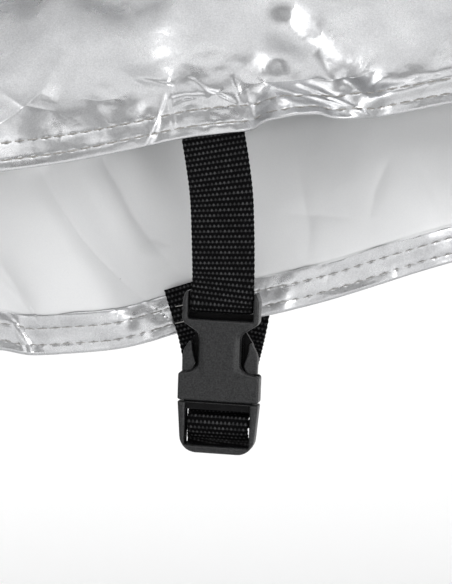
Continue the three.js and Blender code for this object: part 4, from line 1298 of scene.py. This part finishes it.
def thread_material(name, dark, pale):
    material, nodes, shader = new_material(name)
    place = nodes("ShaderNodeTexCoord").outputs["Object"]
    twist = nodes("ShaderNodeTexNoise", {"Vector": place, "Scale": 1800.0, "Detail": 2.0})
    bump = nodes("ShaderNodeBump", {"Height": twist.outputs[0], "Distance": 0.0001, "Strength": 1.0})
    join(nodes, bump.outputs[0], shader.inputs["Normal"])
    join(nodes, mix_colours(nodes, twist.outputs[0], dark, pale), shader.inputs["Base Color"])
    shader.inputs["Roughness"].default_value = 0.7
    return material


# Stitches: one short thread laid on each point, along its run and flat on its face

STITCH_LENGTH = 5.6
STITCH_SINK = 0.4
STITCH_LIFT = 0.36
STITCH_UNEVENNESS = 0.04
TOP_THREAD_THICK, UNDER_THREAD_THICK = 0.6, 0.46


def stitch_mesh(thick):
    """One stitch: a thread that rises from the cloth, runs along it and dives back."""
    rings, sides = 7, 5
    points, faces = [], []
    for k in range(rings):
        share = -1.0 + 2.0 * k / (rings - 1)
        thin = thick / 2 * math.sqrt(max(1.0 - 0.85 * share ** 6, 0.05))
        rise = -STITCH_SINK * share ** 10
        for turn in range(sides):
            angle = 2.0 * math.pi * turn / sides
            points.append((share * STITCH_LENGTH / 2, thin * math.cos(angle),
                           rise + 0.8 * thin * math.sin(angle)))
    for k in range(rings - 1):
        for turn in range(sides):
            a, b = k * sides + turn, k * sides + (turn + 1) % sides
            faces.append([a, b, b + sides, a + sides])
    faces.append(list(range(sides))[::-1])
    faces.append(list(range((rings - 1) * sides, rings * sides)))
    return new_mesh(points, faces, smooth=True)


def stitch_tree():
    """Geometry nodes that lay a stitch on each point, along 'run' and flat on 'face'."""
    tree = bpy.data.node_groups.new("lay_stitches", "GeometryNodeTree")
    sockets = {}
    for label, kind in (("Geometry", "NodeSocketGeometry"), ("Stitch", "NodeSocketObject"),
                        ("Size", "NodeSocketFloat"), ("Unevenness", "NodeSocketFloat"),
                        ("Seed", "NodeSocketInt"), ("Thread", "NodeSocketMaterial")):
        sockets[label] = tree.interface.new_socket(label, in_out="INPUT", socket_type=kind).identifier
    tree.interface.new_socket("Geometry", in_out="OUTPUT", socket_type="NodeSocketGeometry")
    nodes = Nodes(tree)
    given = nodes("NodeGroupInput").outputs
    stitch = nodes("GeometryNodeObjectInfo", {"Object": given["Stitch"]})

    def named(name):
        node = nodes("GeometryNodeInputNamedAttribute", {"Name": name}, data_type="FLOAT_VECTOR")
        return node.outputs["Attribute"]

    turned = nodes("FunctionNodeAxesToRotation",
                   {"Primary Axis": named("face"), "Secondary Axis": named("run")},
                   primary_axis="Z", secondary_axis="X")
    uneven = nodes("FunctionNodeRandomValue", {"Seed": given["Seed"]}, data_type="FLOAT")
    low = nodes.math("SUBTRACT", given["Size"], given["Unevenness"])
    join(nodes, low, uneven.inputs[2])
    join(nodes, given["Size"], uneven.inputs[3])
    laid = nodes("GeometryNodeInstanceOnPoints",
                 {"Points": given["Geometry"], "Instance": stitch.outputs["Geometry"],
                  "Rotation": turned.outputs[0], "Scale": uneven.outputs[1]})
    real = nodes("GeometryNodeRealizeInstances", {"Geometry": laid.outputs[0]})
    coloured = nodes("GeometryNodeSetMaterial", {"Geometry": real.outputs[0], "Material": given["Thread"]})
    nodes("NodeGroupOutput", {"Geometry": coloured.outputs[0]})
    return tree, sockets


def sewn(tree, sockets, stitch, thread, points, runs, faces, seed):
    """Plain mesh of stitches at the points, in millimetres."""
    mesh = new_mesh(points, [])
    add_attribute(mesh, "run", runs)
    add_attribute(mesh, "face", faces)
    piece = scratch(mesh)
    maker = piece.modifiers.new("stitches", "NODES")
    maker.node_group = tree
    for label, value in (("Stitch", stitch), ("Size", 1.0), ("Unevenness", STITCH_UNEVENNESS),
                         ("Seed", seed), ("Thread", thread)):
        maker[sockets[label]] = value
    piece.update_tag()
    bpy.context.view_layer.update()
    depsgraph = bpy.context.evaluated_depsgraph_get()
    made = bpy.data.meshes.new_from_object(piece.evaluated_get(depsgraph))
    bpy.data.objects.remove(piece)
    made.materials.clear()
    return made


def hem_stitches(side, face):
    """Places of the stitches of both rows, on one face of a hem."""
    points, runs, faces = [], [], []
    count = int(2.0 * (END - 8.0) / STITCH_PITCH)
    columns = 2 * count + 1
    along = np.tile((np.arange(columns) - count) * STITCH_PITCH / 2, 3)
    rows_off = np.repeat([-0.8, 0.0, 0.8], columns)
    quads = [[k, k + 1, k + 1 + columns, k + columns]
             for row in (0, 1) for k in range(row * columns, (row + 1) * columns - 1)]
    for row in (0, 1):
        rise = row_rise(side, row, along) + rows_off
        middle = cloth_middle(side, along, rise)
        outward = net_facing(side, middle, quads)
        depth = face_depth(side, face, along, rise, np.ones(len(along)))
        laid = laid_on(face, middle, outward, depth)[columns:2 * columns]
        way = (outward if face == OUTSIDE else -outward)[columns:2 * columns]
        if side == FAR and face == INSIDE:
            over = over_far_strap(laid)
            laid[over, 1] = FAR_STRAP_FACE
            way[over] = (0.0, -1.0, 0.0)
        run = unit(np.roll(laid, -1, axis=0) - np.roll(laid, 1, axis=0))
        between_holes = slice(1, columns - 1, 2)
        points.append((laid + way * STITCH_LIFT)[between_holes])
        runs.append(run[between_holes])
        faces.append(way[between_holes])
    return np.concatenate(points), np.concatenate(runs), np.concatenate(faces)


# Studio

FLOOR_HEIGHT = -1.1
FLOOR_HALF = 9.0
SURROUND = {"even": 0.49, "less in front": 0.3, "more above": 1.28}
LAMPS = (  # name, place, aim, width, height, spread in degrees, watts
    ("left_light", (-1.5, -1.4, -0.84), (0.0, 0.0, -0.86), 0.9, 0.5, 80.0, 0.4),
    ("right_light", (1.5, -1.5, -0.84), (0.0, 0.0, -0.86), 1.2, 0.6, 80.0, 3.7),
    ("front_light", (0.0, -1.8, 0.15), (0.0, 0.0, -0.86), 1.6, 0.7, 180.0, 3.5),
    ("low_light", (0.0, -0.9, 0.3), (0.0, -0.9, -1.1), 1.4, 0.6, 180.0, 7.0))


def studio():
    """Pale floor, soft lamps in front, and a surround that is darker in front and brighter above.

    The camera sees the surround itself as plain white.
    """
    material, nodes, shader = new_material("pale_floor")
    place = nodes("ShaderNodeTexCoord").outputs["Object"]
    cloud = nodes("ShaderNodeTexNoise", {"Vector": place, "Scale": 3.0, "Detail": 2.0})
    join(nodes, mix_colours(nodes, cloud.outputs[0], (0.965, 0.965, 0.965), (0.985, 0.985, 0.985)),
         shader.inputs["Base Color"])
    shader.inputs["Roughness"].default_value = 0.8
    half = FLOOR_HALF
    mesh = bpy.data.meshes.new("floor")
    mesh.from_pydata([(-half, -half, FLOOR_HEIGHT), (half, -half, FLOOR_HEIGHT),
                      (half, half, FLOOR_HEIGHT), (-half, half, FLOOR_HEIGHT)], [], [[0, 1, 2, 3]])
    mesh.materials.append(material)
    floor = bpy.data.objects.new("floor", mesh)
    bpy.context.scene.collection.objects.link(floor)

    world = bpy.data.worlds.new("studio")
    bpy.context.scene.world = world
    world.use_nodes = True
    world.node_tree.nodes.clear()
    nodes = Nodes(world.node_tree)
    split = nodes("ShaderNodeSeparateXYZ", {0: nodes("ShaderNodeTexCoord").outputs["Generated"]}).outputs
    front = nodes.math("POWER", nodes.math("MAXIMUM", nodes.math("MULTIPLY", split[1], -1.0), 0.0), 3.0)
    above = nodes.math("POWER", nodes.math("MAXIMUM", split[2], 0.0), 2.0)
    strength = nodes.math("MULTIPLY_ADD", above, SURROUND["more above"],
                          nodes.math("MULTIPLY_ADD", front, -SURROUND["less in front"], SURROUND["even"]))
    surround = nodes("ShaderNodeBackground", {"Color": (1.0, 1.0, 1.0, 1.0), "Strength": strength})
    backdrop = nodes("ShaderNodeBackground", {"Color": (1.0, 1.0, 1.0, 1.0), "Strength": 1.0})
    seen = nodes("ShaderNodeMixShader", {0: nodes("ShaderNodeLightPath").outputs["Is Camera Ray"],
                                         1: surround.outputs[0], 2: backdrop.outputs[0]})
    nodes("ShaderNodeOutputWorld", {"Surface": seen.outputs[0]})

    for name, place, aim, wide, tall, spread_angle, power in LAMPS:
        light = bpy.data.lights.new(name, "AREA")
        light.shape, light.size, light.size_y, light.energy = "RECTANGLE", wide, tall, power
        light.spread = math.radians(spread_angle)
        lamp = bpy.data.objects.new(name, light)
        lamp.location = place
        lamp.rotation_mode = "QUATERNION"
        lamp.rotation_quaternion = (Vector(place) - Vector(aim)).to_track_quat("Z", "Y")
        bpy.context.scene.collection.objects.link(lamp)
    bpy.context.scene.view_settings.view_transform = "Standard"


# The cover

place_camera()
studio()

crinkle = crinkle_group()
silver_cloth = coated_cloth("silver_coating", crinkle,
                            (0.59, 0.594, 0.602), (0.45, 0.454, 0.464), 0.3, 0.9, 70.0, 0.0003)
inner_cloth = coated_cloth("pale_inner_coating", crinkle,
                           (0.7, 0.704, 0.708), (0.67, 0.675, 0.682), 0.5, 0.0, 40.0, 0.00015)
black_webbing = webbing_material(weave_group())
grey_plastic = plastic_material("moulded_plastic", (0.0015, 0.0016, 0.0018), (0.026, 0.0264, 0.0275), 0.33)
# A darker, duller plastic that paints the shade in the buckle's hollows, window and slot.
painted_shade_plastic = plastic_material("plastic_painted_shade_in_hollow",
                                  (0.003, 0.003, 0.0033), (0.005, 0.005, 0.0054), 0.08)
top_thread = thread_material("grey_top_thread", (0.2, 0.19, 0.175), (0.38, 0.37, 0.35))
under_thread = thread_material("pale_under_thread", (0.22, 0.215, 0.205), (0.42, 0.41, 0.395))

for side, label in ((NEAR, "near"), (FAR, "far")):
    panel = new_object(f"cloth_{label}", side_panel(side), [silver_cloth, inner_cloth],
                       "cover")
    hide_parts(f"side_panel_{label}")

SLANT_CREASE = {"at": 44.0, "slant": -0.55, "height": 1.0, "width": 2.0}
for label, stations, crease in (("near", near_strap_stations(), SLANT_CREASE),
                                ("far", far_strap_stations(), None)):
    strap = new_object(f"webbing_{label}", webbing(stations, crease), [black_webbing],
                       "cover")
    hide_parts(f"strap_{label}")

for name, mesh, node, body in (("body_of_buckle", buckle_body(), "buckle_body", "cover"),
                               ("frame_of_buckle", buckle_frame(), "buckle_frame", "cover"),
                               ("left_arm", release_arm(-1), "release_arm_left", "arm_left"),
                               ("right_arm", release_arm(1), "release_arm_right", "arm_right")):
    # The second material paints shade on the walls in the buckle's hollows.
    piece = new_object(name, mesh, [grey_plastic, painted_shade_plastic], body)
    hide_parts(node)

tree, sockets = stitch_tree()
for face, label, thread, thick in ((OUTSIDE, "top_thread", top_thread, TOP_THREAD_THICK),
                                   (INSIDE, "under_thread", under_thread, UNDER_THREAD_THICK)):
    stitch = scratch(stitch_mesh(thick))
    for side, hem, seed in ((NEAR, "near", 3), (FAR, "far", 5)):
        mesh = sewn(tree, sockets, stitch, thread, *hem_stitches(side, face), seed)
        new_object(f"{label}_{hem}", mesh, [thread], "cover")
    bpy.data.objects.remove(stitch)
